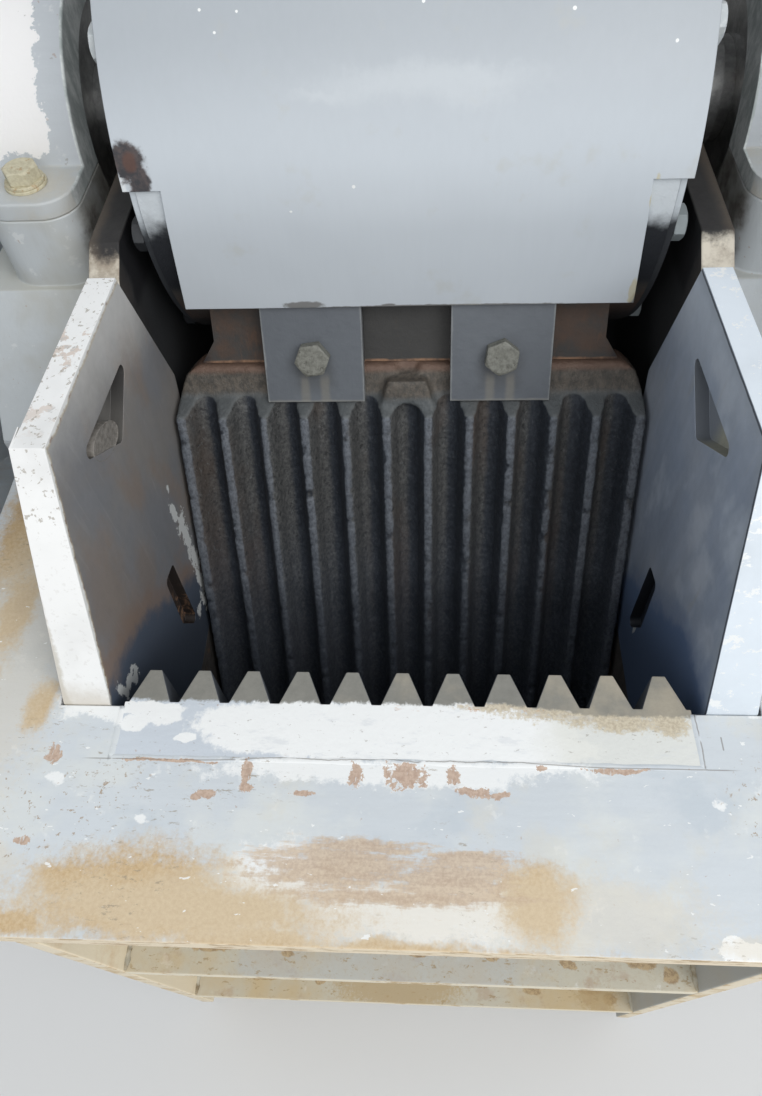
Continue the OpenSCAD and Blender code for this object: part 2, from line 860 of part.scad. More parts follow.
// Round plates at both ends of the spring, the rear one with its nut
module tension_nuts() {
    nut_from = spring_from + plate_t + spring_len + 2 * seat_gap;
    color([0.50, 0.50, 0.48]) {
        along_rod(spring_from + seat_gap)
            difference() {
                cylinder(r = spring_r + plate_rim, h = plate_t - seat_gap);
                translate([0, 0, -1])
                    cylinder(r = rod_r + seat_gap, h = plate_t + 2);
            }
        along_rod(nut_from)
            difference() {
                union() {
                    cylinder(r = spring_r + plate_rim, h = plate_t);
                    cylinder(d = nut_af / cos(30), h = plate_t + nut_h, $fn = 6);
                }
                translate([0, 0, -1])
                    cylinder(r = rod_r + seat_gap, h = plate_t + nut_h + 2);
            }
    }
}

// Side profile of the casting behind the moving jaw plate
module jaw_slab_outline() {
    polygon([
        face_at(moving_plate_t, jaw_bottom), toggle_at(-seat_back, -60), toggle_at(-seat_back, 60),
        face_at(moving_plate_t + slab_t, -380), face_at(moving_plate_t + slab_t, 20),
        [hub_y, hub_z - hub_core_r / 2], [hub_y - hub_core_r / 2, hub_z + hub_core_r / 2],
        face_at(upper_depth, 200), face_at(upper_depth, land_len + 0.5),
        face_at(moving_plate_t, land_len + 0.5)
    ]);
}

module jaw_rib_outline() {
    polygon([
        face_at(100, -560), toggle_at(-seat_back, 50), [hub_y + 130, hub_z - 185],
        [hub_y, hub_z], face_at(100, 60)
    ]);
}

module rod_lug_outline() {
    polygon([
        toggle_at(-120, -20), toggle_at(-seat_back, -seat_half - 5), [pin_at[0] + 18, pin_at[1] + 26],
        [pin_at[0] + 28, pin_at[1]], [pin_at[0] + 12, pin_at[1] - 26], [pin_at[0] - 14, pin_at[1] - 26]
    ]);
}

module swing_jaw() {
    ledge = land_len + 0.5;
    color([0.34, 0.33, 0.32])
        difference() {
            union() {
                x_rod(hub_core_r, -hub_w / 2, hub_w / 2, hub_y, hub_z);
                for (x0 = [-hub_w / 2, hub_w / 2 - rim_w])
                    x_rod(hub_rim_r, x0, x0 + rim_w, hub_y, hub_z);
                side_slab(-jaw_half, jaw_half)
                    jaw_slab_outline();
                on_face() {
                    for (x = [-tab_x, tab_x])
                        block([x - tab_w / 2, land_depth, ledge], [x + tab_w / 2, upper_depth + 1, tab_high]);
                    between_depths(upper_depth, moving_plate_t)
                        polygon([
                            [-jaw_half - flare, ledge], [jaw_half + flare, ledge],
                            [jaw_half, ledge + flare_h], [-jaw_half, ledge + flare_h]
                        ]);
                }
                for (x = rib_bays)
                    side_slab(x, x + rib_w)
                        jaw_rib_outline();
                for (x0 = [-lug_in - lug_t, lug_in])
                    side_slab(x0, x0 + lug_t)
                        rod_lug_outline();
            }
            x_rod(hub_bore_r, -hub_w, hub_w, hub_y, hub_z);
            x_rod(pin_r + seat_gap, -lug_in - lug_t - 1, lug_in + lug_t + 1, pin_at[0], pin_at[1]);
            on_face()
                for (x = [-tab_x, tab_x])
                    translate([x, land_depth - 1, clamp_bolt_up])
                        rotate([-90, 0, 0])
                            cylinder(r = clamp_bolt_r + seat_gap, h = clamp_shank + 7);
        }
}

// Land above the teeth, with its corners drawn in
module land_outline() {
    half = moving_w / 2;
    polygon([
        [-half, 0], [half, 0], [half, tooth_bevel], [half - 10, land_len - 13], [half - 26, land_len],
        [-half + 26, land_len], [-half + 10, land_len - 13], [-half, tooth_bevel]
    ]);
}

// Wedge between the two middle teeth, under the lifting notch
module stop_outline() {
    polygon([[-36, 2], [0, 12], [36, 2], [24, land_len - 15], [-24, land_len - 15]]);
}

// Extrudes an outline drawn in the face's plane between two depths
module between_depths(front, back) {
    translate([0, back, 0])
        rotate([90, 0, 0])
            linear_extrude(height = back - front)
                children();
}

module moving_jaw_plate() {
    stop_depth = 13;
    notch_half = 15;
    notch_low = land_len - 11;
    color([0.24, 0.23, 0.22])
        on_face()
            difference() {
                union() {
                    difference() {
                        translate([0, 0, -moving_face_len])
                            linear_extrude(height = moving_face_len + tooth_bevel)
                                moving_outline();
                        side_slab(-moving_w, moving_w)
                            polygon([
                                [-1, -tooth_bevel / tooth_h], [tooth_h, tooth_bevel],
                                [tooth_h, tooth_bevel + 1], [-1, tooth_bevel + 1]
                            ]);
                        side_slab(-moving_w, moving_w)
                            polygon([
                                [-1, -moving_face_len - 1], [-1, -moving_face_len + tooth_bevel],
                                [tooth_h, -moving_face_len - 1]
                            ]);
                    }
                    between_depths(tooth_h, moving_plate_t)
                        land_outline();
                    between_depths(stop_depth, tooth_h + 1)
                        stop_outline();
                }
                block([-notch_half, -1, notch_low], [notch_half, upper_depth, land_len + 1]);
            }
}

module clamp_tab(x) {
    front = land_depth - tab_t;
    color([0.62, 0.67, 0.71])
        on_face()
            difference() {
                side_slab(x - tab_w / 2, x + tab_w / 2)
                    polygon([
                        [front, tab_low], [land_depth - tab_chamfer, tab_low],
                        [land_depth, tooth_bevel + seat_gap], [land_depth, tab_high], [front, tab_high]
                    ]);
                translate([x, front - 1, clamp_bolt_up])
                    rotate([-90, 0, 0])
                        cylinder(r = clamp_bolt_r + seat_gap, h = tab_t + 2);
            }
}

module clamp_bolts() {
    color([0.38, 0.37, 0.35])
        on_face()
            for (x = [-tab_x, tab_x])
                translate([x, land_depth - tab_t, clamp_bolt_up])
                    rotate([90, 0, 0])
                        hex_bolt(clamp_bolt_r, tab_t + clamp_shank, clamp_bolt_af, clamp_head_h, 0, 0);
}

// Section of the guard over the hub, from level with its axis in front to the back angle
module guard_arc() {
    reach = 2 * guard_out_r;
    intersection() {
        difference() {
            translate([hub_y, hub_z])
                circle(r = guard_out_r);
            translate([hub_y, hub_z])
                circle(r = guard_in_r);
        }
        polygon([
            [hub_y, hub_z], [hub_y - reach, hub_z], [hub_y - reach, hub_z + reach],
            [hub_y + reach * cos(guard_back_angle), hub_z + reach],
            [hub_y + reach * cos(guard_back_angle), hub_z + reach * sin(guard_back_angle)]
        ]);
    }
}

module head_guard() {
    apron_low = hub_z - apron_drop;
    apron_high = hub_z + apron_rise;
    color([0.70, 0.74, 0.78])
        difference() {
            side_slab(-guard_w / 2, guard_w / 2) {
                guard_arc();
                polygon([
                    [hub_y - guard_out_r, apron_low], [hub_y - guard_in_r, apron_low],
                    [hub_y - guard_in_r, hub_z], [hub_y - guard_out_r, hub_z]
                ]);
            }
            for (side = [0, 1])
                mirror([side, 0, 0])
                    translate([0, hub_y, 0])
                        rotate([90, 0, 0])
                            linear_extrude(height = 2 * guard_out_r)
                                polygon([
                                    [apron_w / 2, apron_high], [guard_w, apron_high], [guard_w, apron_low - 1],
                                    [apron_w / 2 + apron_flare, apron_low - 1]
                                ]);
        }
}

module hub_cover() {
    difference() {
        x_rod(hub_rim_r - hub_cover_inset, hub_w / 2, hub_w / 2 + hub_cover_t, hub_y, hub_z);
        x_rod(hub_bore_r + hub_cover_gap, hub_w / 2 - 1, hub_w / 2 + hub_cover_t + 1, hub_y, hub_z);
    }
}

module hub_cover_bolts() {
    color([0.62, 0.65, 0.66])
        for (side = [-1, 1], i = [0:cover_bolts - 1])
            translate([side * (hub_w / 2 + hub_cover_t), hub_y, hub_z])
                rotate([cover_bolt_first + i * 360 / cover_bolts, 0, 0])
                    translate([0, 0, cover_bolt_at])
                        rotate([0, side * 90, 0])
                            cylinder(d = cover_bolt_af / cos(30), h = cover_bolt_h, $fn = 6);
}

module toggle_seat_jaw() {
    groove = toggle_at(jaw_groove_r - toggle_end_r - seat_gap, 0);
    color([0.40, 0.39, 0.38])
        difference() {
            side_slab(-seat_half_w, seat_half_w)
                polygon([
                    toggle_at(-seat_back, -seat_half), toggle_at(-seat_lip, -seat_half),
                    toggle_at(-seat_lip, seat_half), toggle_at(-seat_back, seat_half)
                ]);
            x_rod(jaw_groove_r, -seat_half_w - 1, seat_half_w + 1, groove[0], groove[1]);
        }
}

module tension_pin() {
    half = lug_in + lug_t + pin_head;
    color([0.45, 0.45, 0.46])
        x_rod(pin_r, -half, half, pin_at[0], pin_at[1]);
}

module side_wall_left() {
    color([0.68, 0.73, 0.76])
        left_twin()
            side_wall();
}

module side_wall_right() {
    color([0.68, 0.73, 0.76])
        side_wall();
}

module side_ribs() {
    color([0.66, 0.71, 0.74]) {
        side_rib_pair();
        left_twin()
            side_rib_pair();
    }
}

module side_gussets() {
    color([0.66, 0.71, 0.74]) {
        side_gusset_row();
        left_twin()
            side_gusset_row();
    }
}

module base_flange_left() {
    color([0.60, 0.64, 0.66])
        left_twin()
            base_flange();
}

module base_flange_right() {
    color([0.60, 0.64, 0.66])
        base_flange();
}

module cheek_upper_left() {
    color([0.52, 0.51, 0.50])
        left_twin()
            cheek_upper();
}

module cheek_upper_right() {
    color([0.52, 0.55, 0.60])
        cheek_upper();
}

module cheek_lower_left() {
    color([0.45, 0.42, 0.40])
        left_twin()
            cheek_lower();
}

module cheek_lower_right() {
    color([0.45, 0.42, 0.40])
        cheek_lower();
}

module bearing_seat_left() {
    color([0.66, 0.71, 0.74])
        left_twin()
            bearing_seat();
}

module bearing_seat_right() {
    color([0.66, 0.71, 0.74])
        bearing_seat();
}

module bearing_cap_left() {
    color([0.80, 0.82, 0.82])
        left_twin()
            bearing_cap();
}

module bearing_cap_right() {
    color([0.80, 0.82, 0.82])
        bearing_cap();
}

module hub_cover_left() {
    color([0.60, 0.63, 0.66])
        left_twin()
            hub_cover();
}

module hub_cover_right() {
    color([0.60, 0.63, 0.66])
        hub_cover();
}

front_wall();
side_wall_left();
side_wall_right();
rear_wall();
feed_flange();
seat_rails();
front_ribs();
side_ribs();
side_gussets();
rear_ribs();
base_flange_left();
base_flange_right();
fixed_jaw_plate();
cheek_upper_left();
cheek_upper_right();
cheek_lower_left();
cheek_lower_right();
bearing_seat_left();
bearing_seat_right();
bearing_cap_left();
bearing_cap_right();
cap_bolts();
bearings();
bearing_covers();
eccentric_shaft();
flywheel();
pulley();
wheel_retainers();
toggle_plate();
toggle_seat_rear();
adjusting_block();
shims();
tension_rod();
tension_spring();
tension_nuts();
swing_jaw();
moving_jaw_plate();
clamp_tab(-tab_x);  // clamp_tab_left
clamp_tab(tab_x);  // clamp_tab_right
clamp_bolts();
head_guard();
hub_cover_left();
hub_cover_right();
hub_cover_bolts();
toggle_seat_jaw();
tension_pin();
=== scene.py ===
import json
from math import asin, atan2, cos, pi, radians, sin, tan

import bmesh
import bpy
from mathutils import Matrix, Vector, noise


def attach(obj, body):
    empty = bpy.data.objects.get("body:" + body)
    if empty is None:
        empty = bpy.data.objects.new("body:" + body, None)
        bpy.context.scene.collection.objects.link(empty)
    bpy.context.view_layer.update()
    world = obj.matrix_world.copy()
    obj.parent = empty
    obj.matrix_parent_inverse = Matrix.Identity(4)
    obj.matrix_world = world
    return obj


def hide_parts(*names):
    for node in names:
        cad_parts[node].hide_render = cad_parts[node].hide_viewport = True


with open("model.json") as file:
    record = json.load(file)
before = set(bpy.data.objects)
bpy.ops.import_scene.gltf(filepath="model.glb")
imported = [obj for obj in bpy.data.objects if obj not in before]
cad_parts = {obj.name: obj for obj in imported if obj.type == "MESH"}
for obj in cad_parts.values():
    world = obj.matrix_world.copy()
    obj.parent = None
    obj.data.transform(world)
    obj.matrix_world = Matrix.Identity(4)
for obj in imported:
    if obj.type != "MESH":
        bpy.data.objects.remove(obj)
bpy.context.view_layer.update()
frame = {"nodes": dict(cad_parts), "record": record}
print("crusher frame loaded")


# camera, at the height and tilt of someone looking down into the feed opening
photoView = {
    "pitch": 54.399,
    "yaw": 5.895,
    "roll": 4.777,
    "place": (0.02667, -0.71397, 1.56729),
    "focalPixels": 792.0,
    "picturePixels": (762, 1096),
    "centreRow": 508,
}


def makeCamera(view):
    down = radians(view["pitch"])
    forward = Vector((0, cos(down), -sin(down)))
    right = Vector((1, 0, 0))
    below = forward.cross(right)
    turn = Matrix.Rotation(radians(view["yaw"]), 3, "Z")
    forward, right, below = turn @ forward, turn @ right, turn @ below
    c, s = cos(radians(view["roll"])), sin(radians(view["roll"]))
    right, below = c * right + s * below, c * below - s * right
    width, height = view["picturePixels"]
    lens = bpy.data.cameras.new("camera")
    lens.sensor_width = 36
    lens.lens = view["focalPixels"] / height * lens.sensor_width
    lens.shift_y = (view["centreRow"] - height / 2) / height
    lens.clip_start = 0.01
    camera = bpy.data.objects.new("camera", lens)
    placed = Matrix((right, -below, -forward)).transposed().to_4x4()
    placed.translation = Vector(view["place"])
    camera.matrix_world = placed
    bpy.context.scene.collection.objects.link(camera)
    bpy.context.scene.camera = camera


makeCamera(photoView)


# studio: pale floor, pale surroundings, a wide softbox front right and a long one in front
studio = {
    "floorSize": 24,
    "floorColour": (0.72, 0.72, 0.71, 1),
    "surround": (0.93, 0.96, 1.0, 1),
    "surroundStrength": 0.65,
    "keyBox": {"size": (2.6, 2.6), "place": (2.1, -2.3, 3.9), "watts": 92},
    "frontBox": {"size": (1.3, 0.5), "place": (0.0, -2.9, 3.05), "watts": 16},
}


def makeLamp(name, box, aim):
    lamp = bpy.data.lights.new(name, "AREA")
    lamp.shape = "RECTANGLE"
    lamp.size, lamp.size_y = box["size"]
    lamp.energy = box["watts"]
    lampObject = bpy.data.objects.new(name, lamp)
    lampObject.location = box["place"]
    lampObject.rotation_euler = (Vector(aim) - Vector(box["place"])).to_track_quat("-Z", "Y").to_euler()
    bpy.context.scene.collection.objects.link(lampObject)


class Wire:
    # a node's output, with the arithmetic that adds Math nodes

    def __init__(self, paint, socket):
        self.paint = paint
        self.socket = socket

    def calc(self, operation, *others):
        return self.paint.maths(operation, self, *others)

    def __add__(self, other):
        return self.calc("ADD", other)

    def __radd__(self, other):
        return self.paint.maths("ADD", other, self)

    def __sub__(self, other):
        return self.calc("SUBTRACT", other)

    def __rsub__(self, other):
        return self.paint.maths("SUBTRACT", other, self)

    def __mul__(self, other):
        return self.calc("MULTIPLY", other)

    def __rmul__(self, other):
        return self.paint.maths("MULTIPLY", other, self)

    def __truediv__(self, other):
        return self.calc("DIVIDE", other)

    def __pow__(self, other):
        return self.calc("POWER", other)

    def __abs__(self):
        return self.calc("ABSOLUTE")

    def atLeast(self, other):
        return self.calc("MAXIMUM", other)

    def atMost(self, other):
        return self.calc("MINIMUM", other)


class Tree:
    # builds nodes in a material's or a world's tree

    def __init__(self, tree):
        self.tree = tree
        tree.nodes.clear()

    def add(self, kind, settings, values, output=0):
        node = self.tree.nodes.new("ShaderNode" + kind)
        for key, setting in settings.items():
            setattr(node, key, setting)
        for key, value in values.items():
            if isinstance(value, Wire):
                self.tree.links.new(value.socket, node.inputs[key])
            else:
                node.inputs[key].default_value = value
        return Wire(self, node.outputs[output]) if len(node.outputs) else node

    def maths(self, operation, *values):
        return self.add("Math", {"operation": operation}, dict(enumerate(values)))


class Paint(Tree):
    # a material: object coordinates in, one Principled shader out

    def __init__(self, name):
        self.material = bpy.data.materials.new(name)
        self.material.use_nodes = True
        super().__init__(self.material.node_tree)
        self.place = self.add("TexCoord", {}, {}, "Object")
        self.facing = self.add("TexCoord", {}, {}, "Normal")
        self.x, self.y, self.z = self.split(self.place)
        self.right, self.back, self.up = self.split(self.facing)

    def split(self, vector):
        first = self.add("SeparateXYZ", {}, {0: vector})
        outputs = first.socket.node.outputs
        return [Wire(self, outputs[i]) for i in range(3)]

    def shiftedBy(self, vector, factors, shift):
        return self.add("VectorMath", {"operation": "MULTIPLY_ADD"}, {0: vector, 1: factors, 2: shift})

    def noise(self, scale, detail=3.0, rough=0.55, factors=(1, 1, 1), shift=(0, 0, 0), bend=0.0):
        values = {
            "Vector": self.shiftedBy(self.place, factors, shift),
            "Scale": scale,
            "Detail": detail,
            "Roughness": rough,
            "Distortion": bend,
        }
        return self.add("TexNoise", {}, values)

    def fade(self, value, low, high):
        # 0 below low, 1 above high
        values = {0: value, 1: low, 2: high}
        return self.add("MapRange", {"interpolation_type": "SMOOTHSTEP"}, values)

    def within(self, value, low, high, soft):
        return self.fade(value, low - soft, low + soft) * (1 - self.fade(value, high - soft, high + soft))

    def blend(self, under, over, mask):
        values = {0: mask, 6: under, 7: over}
        return self.add("Mix", {"data_type": "RGBA"}, values, 2)

    def dim(self, colour, factor):
        vector = colour[:3] if type(colour) is tuple else colour
        return self.add("VectorMath", {"operation": "SCALE"}, {0: vector, 3: factor})

    def spots(self, low, high, *noiseValues, **noiseSettings):
        # where a noise passes from low to high
        return self.fade(self.noise(*noiseValues, **noiseSettings), low, high)

    def mottle(self, first, second, value, low, high):
        # the first colour where a value is low, the second where it is high
        return self.blend(first, second, self.fade(value, low, high))

    def patches(self, across, along, spots, bend=0.0):
        # highest where a spot (across, along, half width, half length) is centred, 0 on its rim
        flat = self.add("CombineXYZ", {}, {0: across, 1: along, 2: 0.0})
        if bend:
            values = {"Vector": self.place, "Scale": 16.0, "Detail": 5.0, "Roughness": 0.65}
            sway = self.add("TexNoise", {}, values, 1)
            shift = self.shiftedBy(sway, (bend,) * 3, (-bend / 2,) * 3)
            flat = self.add("VectorMath", {"operation": "ADD"}, {0: flat, 1: shift})
        nearest = None
        for cx, cy, rx, ry in spots:
            scaled = self.shiftedBy(flat, (1 / rx, 1 / ry, 0), (-cx / rx, -cy / ry, 0))
            reach = self.add("VectorMath", {"operation": "LENGTH"}, {0: scaled}, 1)
            nearest = reach if nearest is None else nearest.atMost(reach)
        return 1 - nearest

    def stroke(self, across, along, start, end, width):
        # 1 on a straight line between two points, 0 a width away
        run = Vector(end) - Vector(start)
        length = run.length
        ax, ay = run / length
        u = (across - start[0]) * ax + (along - start[1]) * ay
        v = (along - start[1]) * ax - (across - start[0]) * ay
        beyond = (0 - u).atLeast(u - length).atLeast(0.0)
        return 1 - (v * v + beyond * beyond).calc("SQRT") / width

    def finish(self, colour, roughness, height=None, depth=0.001, metallic=0.0):
        values = {"Base Color": colour, "Roughness": roughness, "Metallic": metallic}
        if height is not None:
            values["Normal"] = self.add("Bump", {}, {"Strength": 1.0, "Distance": depth, "Height": height})
        shader = self.add("BsdfPrincipled", {}, values)
        self.add("OutputMaterial", {}, {0: shader})
        return self.material


def tone(red, green, blue):
    # a colour as it looks on a screen, 0 to 255, as the linear value that a shader needs
    linear = [((v / 255 + 0.055) / 1.055) ** 2.4 if v > 10 else v / 255 / 12.92 for v in (red, green, blue)]
    return (*linear, 1)


def makeStudio(studio):
    bpy.ops.mesh.primitive_plane_add(size=studio["floorSize"])
    floor = bpy.context.object
    floor.name = "floor"
    floorPaint = Paint("floorPaint")
    floor.data.materials.append(floorPaint.finish(studio["floorColour"], 0.9))
    makeLamp("keyBox", studio["keyBox"], (0, -0.1, 0.9))
    makeLamp("frontBox", studio["frontBox"], (0, 0.05, 1.19))
    world = bpy.data.worlds.new("surround")
    bpy.context.scene.world = world
    world.use_nodes = True
    sky = Tree(world.node_tree)
    path = sky.add("LightPath", {}, {}, "Is Camera Ray")
    outputs = path.socket.node.outputs
    seen = path.atLeast(Wire(sky, outputs["Is Glossy Ray"]))
    seen = seen.atLeast(Wire(sky, outputs["Is Transmission Ray"]))
    strength = studio["surroundStrength"] + (1 - studio["surroundStrength"]) * seen
    background = sky.add("Background", {}, {0: studio["surround"], 1: strength})
    sky.add("OutputWorld", {}, {0: background})
    bpy.context.scene.view_settings.view_transform = "Standard"


makeStudio(studio)
print("studio ready")


# finishes: worn brushed paint over steel, tan rust, soot and painted shade, and bare castings
shades = {
    "chalk": tone(240, 241, 239),
    "cream": tone(226, 212, 186),
    "brownRust": tone(164, 128, 100),
    "sootAndShade": tone(20, 23, 29),
    "dust": tone(178, 168, 148),
}


def paintFilm(p, colour, coarse=1.0, streakAlong="x"):
    # brushed paint: cloudy tone, brush streaks, pale rubbed spots and small dark pits
    streakFactors = {"x": (1, 9, 9), "y": (9, 1, 9), "z": (9, 9, 1)}[streakAlong]
    cloud = p.noise(3.4 / coarse, 3)
    streak = p.noise(16 / coarse, 4, 0.6, streakFactors)
    pale = p.spots(0.62, 0.7, 38, 4, 0.65)
    pits = p.spots(0.69, 0.73, 120, 3, 0.6, shift=(3, 1, 2))
    film = p.dim(colour, 0.88 + 0.14 * cloud + 0.1 * streak)
    film = p.blend(film, shades["chalk"], pale * 0.35)
    film = p.blend(film, shades["brownRust"], pits * 0.45)
    return film, streak * 0.3 + p.noise(240, 2) * 0.2


def grainyTan(p):
    # rust-stained dust: light and dark grains
    grain = p.noise(260, 3, 0.7, shift=(7, 3, 1))
    blotch = p.noise(20, 5, 0.65, shift=(2, 8, 4))
    tan = p.mottle(tone(190, 161, 120), tone(205, 181, 143), grain, 0.3, 0.7)
    return p.blend(tan, tone(174, 142, 104), p.fade(blotch, 0.5, 0.75) * 0.5)


flangeMarks = {
    "white": [
        (-0.05, -0.476, 0.16, 0.016), (0.05, -0.480, 0.10, 0.022), (0.10, -0.477, 0.10, 0.010),
        (0.02, -0.598, 0.15, 0.030), (-0.11, -0.575, 0.05, 0.035), (-0.14, -0.605, 0.06, 0.02),
        (-0.305, -0.424, 0.06, 0.014), (-0.335, -0.489, 0.010, 0.007), (0.293, -0.503, 0.008, 0.006),
        (0.318, -0.415, 0.035, 0.008), (0.335, -0.37, 0.02, 0.008), (-0.33, -0.41, 0.05, 0.012),
        (-0.245, -0.53, 0.008, 0.006),
    ],
    "corner": [(0.295, -0.624, 0.028, 0.009), (0.283, -0.618, 0.010, 0.008)],
    "tan": [
        (-0.235, -0.588, 0.12, 0.050), (-0.20, -0.606, 0.20, 0.034), (-0.345, -0.618, 0.05, 0.016),
        (0.122, -0.592, 0.046, 0.040), (0.0, -0.632, 0.22, 0.012), (-0.13, -0.625, 0.10, 0.016),
        (-0.455, -0.20, 0.045, 0.12), (-0.43, -0.31, 0.030, 0.07), (-0.377, -0.418, 0.018, 0.034),
        (-0.445, -0.42, 0.02, 0.08), (-0.30, -0.585, 0.05, 0.03),
    ],
    "haze": [
        (-0.10, -0.60, 0.34, 0.045), (0.15, -0.60, 0.16, 0.04), (0.35, -0.62, 0.12, 0.012),
        (-0.42, -0.35, 0.08, 0.25), (-0.40, -0.58, 0.07, 0.03),
    ],
    "scraped": [
        (-0.055, -0.566, 0.095, 0.024), (0.045, -0.574, 0.07, 0.022), (-0.035, -0.548, 0.07, 0.008),
        (0.01, -0.588, 0.13, 0.008), (0.06, -0.556, 0.06, 0.008),
    ],
    "chip": [
        (0.004, -0.482, 0.022, 0.015), (-0.044, -0.482, 0.007, 0.013), (-0.149, -0.480, 0.006, 0.016),
        (-0.148, -0.496, 0.008, 0.005), (0.049, -0.483, 0.007, 0.011), (0.068, -0.497, 0.022, 0.005),
        (0.090, -0.500, 0.016, 0.004), (-0.095, -0.502, 0.015, 0.003), (-0.187, -0.502, 0.012, 0.005),
        (-0.195, -0.506, 0.006, 0.004), (-0.345, -0.468, 0.010, 0.009), (-0.352, -0.550, 0.010, 0.004),
        (0.205, -0.474, 0.03, 0.0025), (-0.23, -0.4725, 0.06, 0.0015), (0.135, -0.474, 0.006, 0.003),
    ],
    "speck": [(-0.36, -0.53, 0.07, 0.05), (-0.29, -0.50, 0.06, 0.03), (0.34, -0.50, 0.05, 0.04)],
}


def flangePaint():
    p = Paint("flangePaint")
    film, height = paintFilm(p, tone(203, 209, 213))
    rough = p.noise(26, 5, 0.7) - 0.5
    fine = p.noise(95, 4, 0.75, shift=(5, 0, 0)) - 0.5
    grain = p.noise(240, 3, 0.7, shift=(5, 5, 0)) - 0.5
    brushed = p.noise(20, 5, 0.7, (1, 7, 1)) - 0.5
    mottle = p.noise(7, 5, 0.62, (1, 1.4, 1), (5, 9, 1))
    film = p.blend(film, tone(222, 224, 218), p.fade(mottle, 0.48, 0.66) * 0.5)
    film = p.blend(film, tone(184, 194, 202), p.spots(0.52, 0.68, 9, 5, 0.62, (1, 1.3, 1), (2, 1, 7)) * 0.5)
    film = p.blend(film, tone(214, 208, 190), p.spots(0.54, 0.70, 12, 5, 0.65, shift=(1, 4, 8)) * 0.35)
    whiteField = p.patches(p.x, p.y, flangeMarks["white"], 0.05)
    white = p.fade(whiteField + fine * 1.3 + grain * 0.5, -0.05, 0.42)
    film = p.blend(film, shades["chalk"], white * 0.85)
    cornerField = p.patches(p.x, p.y, flangeMarks["corner"])
    film = p.blend(film, shades["chalk"], p.fade(cornerField + fine * 0.9, 0.0, 0.1))
    tanField = p.patches(p.x, p.y, flangeMarks["tan"], 0.045)
    tan = p.fade(tanField + fine * 0.8 + grain * 0.5 + rough * 0.3, -0.06, 0.6)
    film = p.blend(film, grainyTan(p), tan)
    hazeField = p.patches(p.x, p.y, flangeMarks["haze"], 0.06)
    haze = p.fade(hazeField + rough * 0.6 + grain * 0.6, 0.0, 0.55)
    film = p.blend(film, tone(218, 206, 182), haze * 0.42)
    scrapedField = p.patches(p.x, p.y, flangeMarks["scraped"], 0.02)
    scraped = p.fade(scrapedField + brushed * 2.2 + fine * 1.2 + grain * 0.4, -0.1, 0.5)
    scrapedTone = p.mottle(tone(180, 154, 128), tone(206, 186, 160), grain + brushed, -0.25, 0.25)
    film = p.blend(film, scrapedTone, scraped * 0.85)
    chipField = p.patches(p.x, p.y, flangeMarks["chip"], 0.012)
    chips = p.fade(chipField + fine * 2.6 + grain * 0.8, 0.08, 0.2)
    chips = chips * (1 - 0.8 * p.spots(0.62, 0.66, 90, 3, 0.6, (3, 0.5, 1), (4, 1, 0)))
    chipTone = p.mottle(tone(176, 149, 130), tone(198, 174, 154), grain, -0.15, 0.15)
    film = p.blend(film, chipTone, chips * 0.95)
    scuffs = p.spots(0.60, 0.64, 64, 5, 0.8, (1, 3.2, 1), (8, 2, 0))
    scuffs = scuffs * p.spots(0.48, 0.62, 5, 2, shift=(4, 4, 4))
    film = p.blend(film, tone(150, 138, 120), scuffs * 0.7)
    flecks = p.spots(0.68, 0.70, 60, 3, 0.6, (1, 2, 1), (1, 7, 3))
    film = p.blend(film, shades["chalk"], flecks * 0.8)
    speckField = p.patches(p.x, p.y, flangeMarks["speck"], 0.05)
    specks = p.spots(0.60, 0.64, 120, 4, 0.7, shift=(6, 6, 2)) * p.fade(speckField, -0.1, 0.3)
    film = p.blend(film, tone(160, 138, 112), specks * 0.8)
    # the filler's crack wanders in the middle of the joint and runs straight at its ends
    wander = (p.noise(22, 4, 0.6, (1, 0, 0), (1, 2, 3)) - 0.42) * (1 - p.fade(abs(p.x + 0.02), 0.12, 0.16))
    lineY = 0.4690 + 0.0025 * p.fade(abs(p.x), 0.12, 0.2) - 0.010 * wander
    crack = 1 - p.fade(abs(p.y + lineY), 0.0002, 0.0009)
    sideX = 0.2885 + 0.006 * (p.noise(30, 3, 0.6, (0, 1, 0)) - 0.5)
    sideCrack = (1 - p.fade(abs(p.x - sideX), 0.0004, 0.0010)) * p.within(p.y, -0.471, -0.413, 0.002)
    shortCrack = p.fade(p.stroke(p.x, p.y, (0.309, -0.440), (0.309, -0.452), 0.0008), 0.0, 0.3)
    crack = (crack * p.within(p.x, -0.31, 0.315, 0.01)).atLeast(sideCrack).atLeast(shortCrack)
    crack = crack * p.spots(0.3, 0.42, 60, 3, 0.6, (1, 1, 1), (9, 9, 9))
    film = p.blend(film, tone(104, 94, 84), crack * 0.6)
    front = p.fade(0 - p.back, 0.6, 0.9)
    edgeFilm = p.blend(shades["cream"], tone(176, 150, 112), p.spots(0.5, 0.62, 30, 5, 0.7, (1, 1, 4)))
    film = p.blend(film, edgeFilm, front)
    # painted shade: faces that look down are turned grey
    shade = p.fade(0 - p.up, 0.5, 0.9)
    film = p.blend(film, tone(120, 122, 122), shade)
    return p.finish(film, 0.66, height + grain * 0.3, 0.0006)


fixedPlateMarks = {
    "white": [
        (0.0, -0.440, 0.19, 0.036), (-0.12, -0.436, 0.10, 0.03), (-0.245, -0.425, 0.024, 0.014),
        (-0.275, -0.416, 0.06, 0.008), (-0.27, -0.435, 0.016, 0.012), (-0.215, -0.452, 0.010, 0.006),
        (0.10, -0.455, 0.10, 0.02), (-0.30, -0.43, 0.012, 0.03),
    ],
    "dirt": [
        (0.19, -0.419, 0.11, 0.012), (0.262, -0.426, 0.026, 0.018), (0.12, -0.413, 0.08, 0.006),
        (0.22, -0.43, 0.04, 0.01),
    ],
}


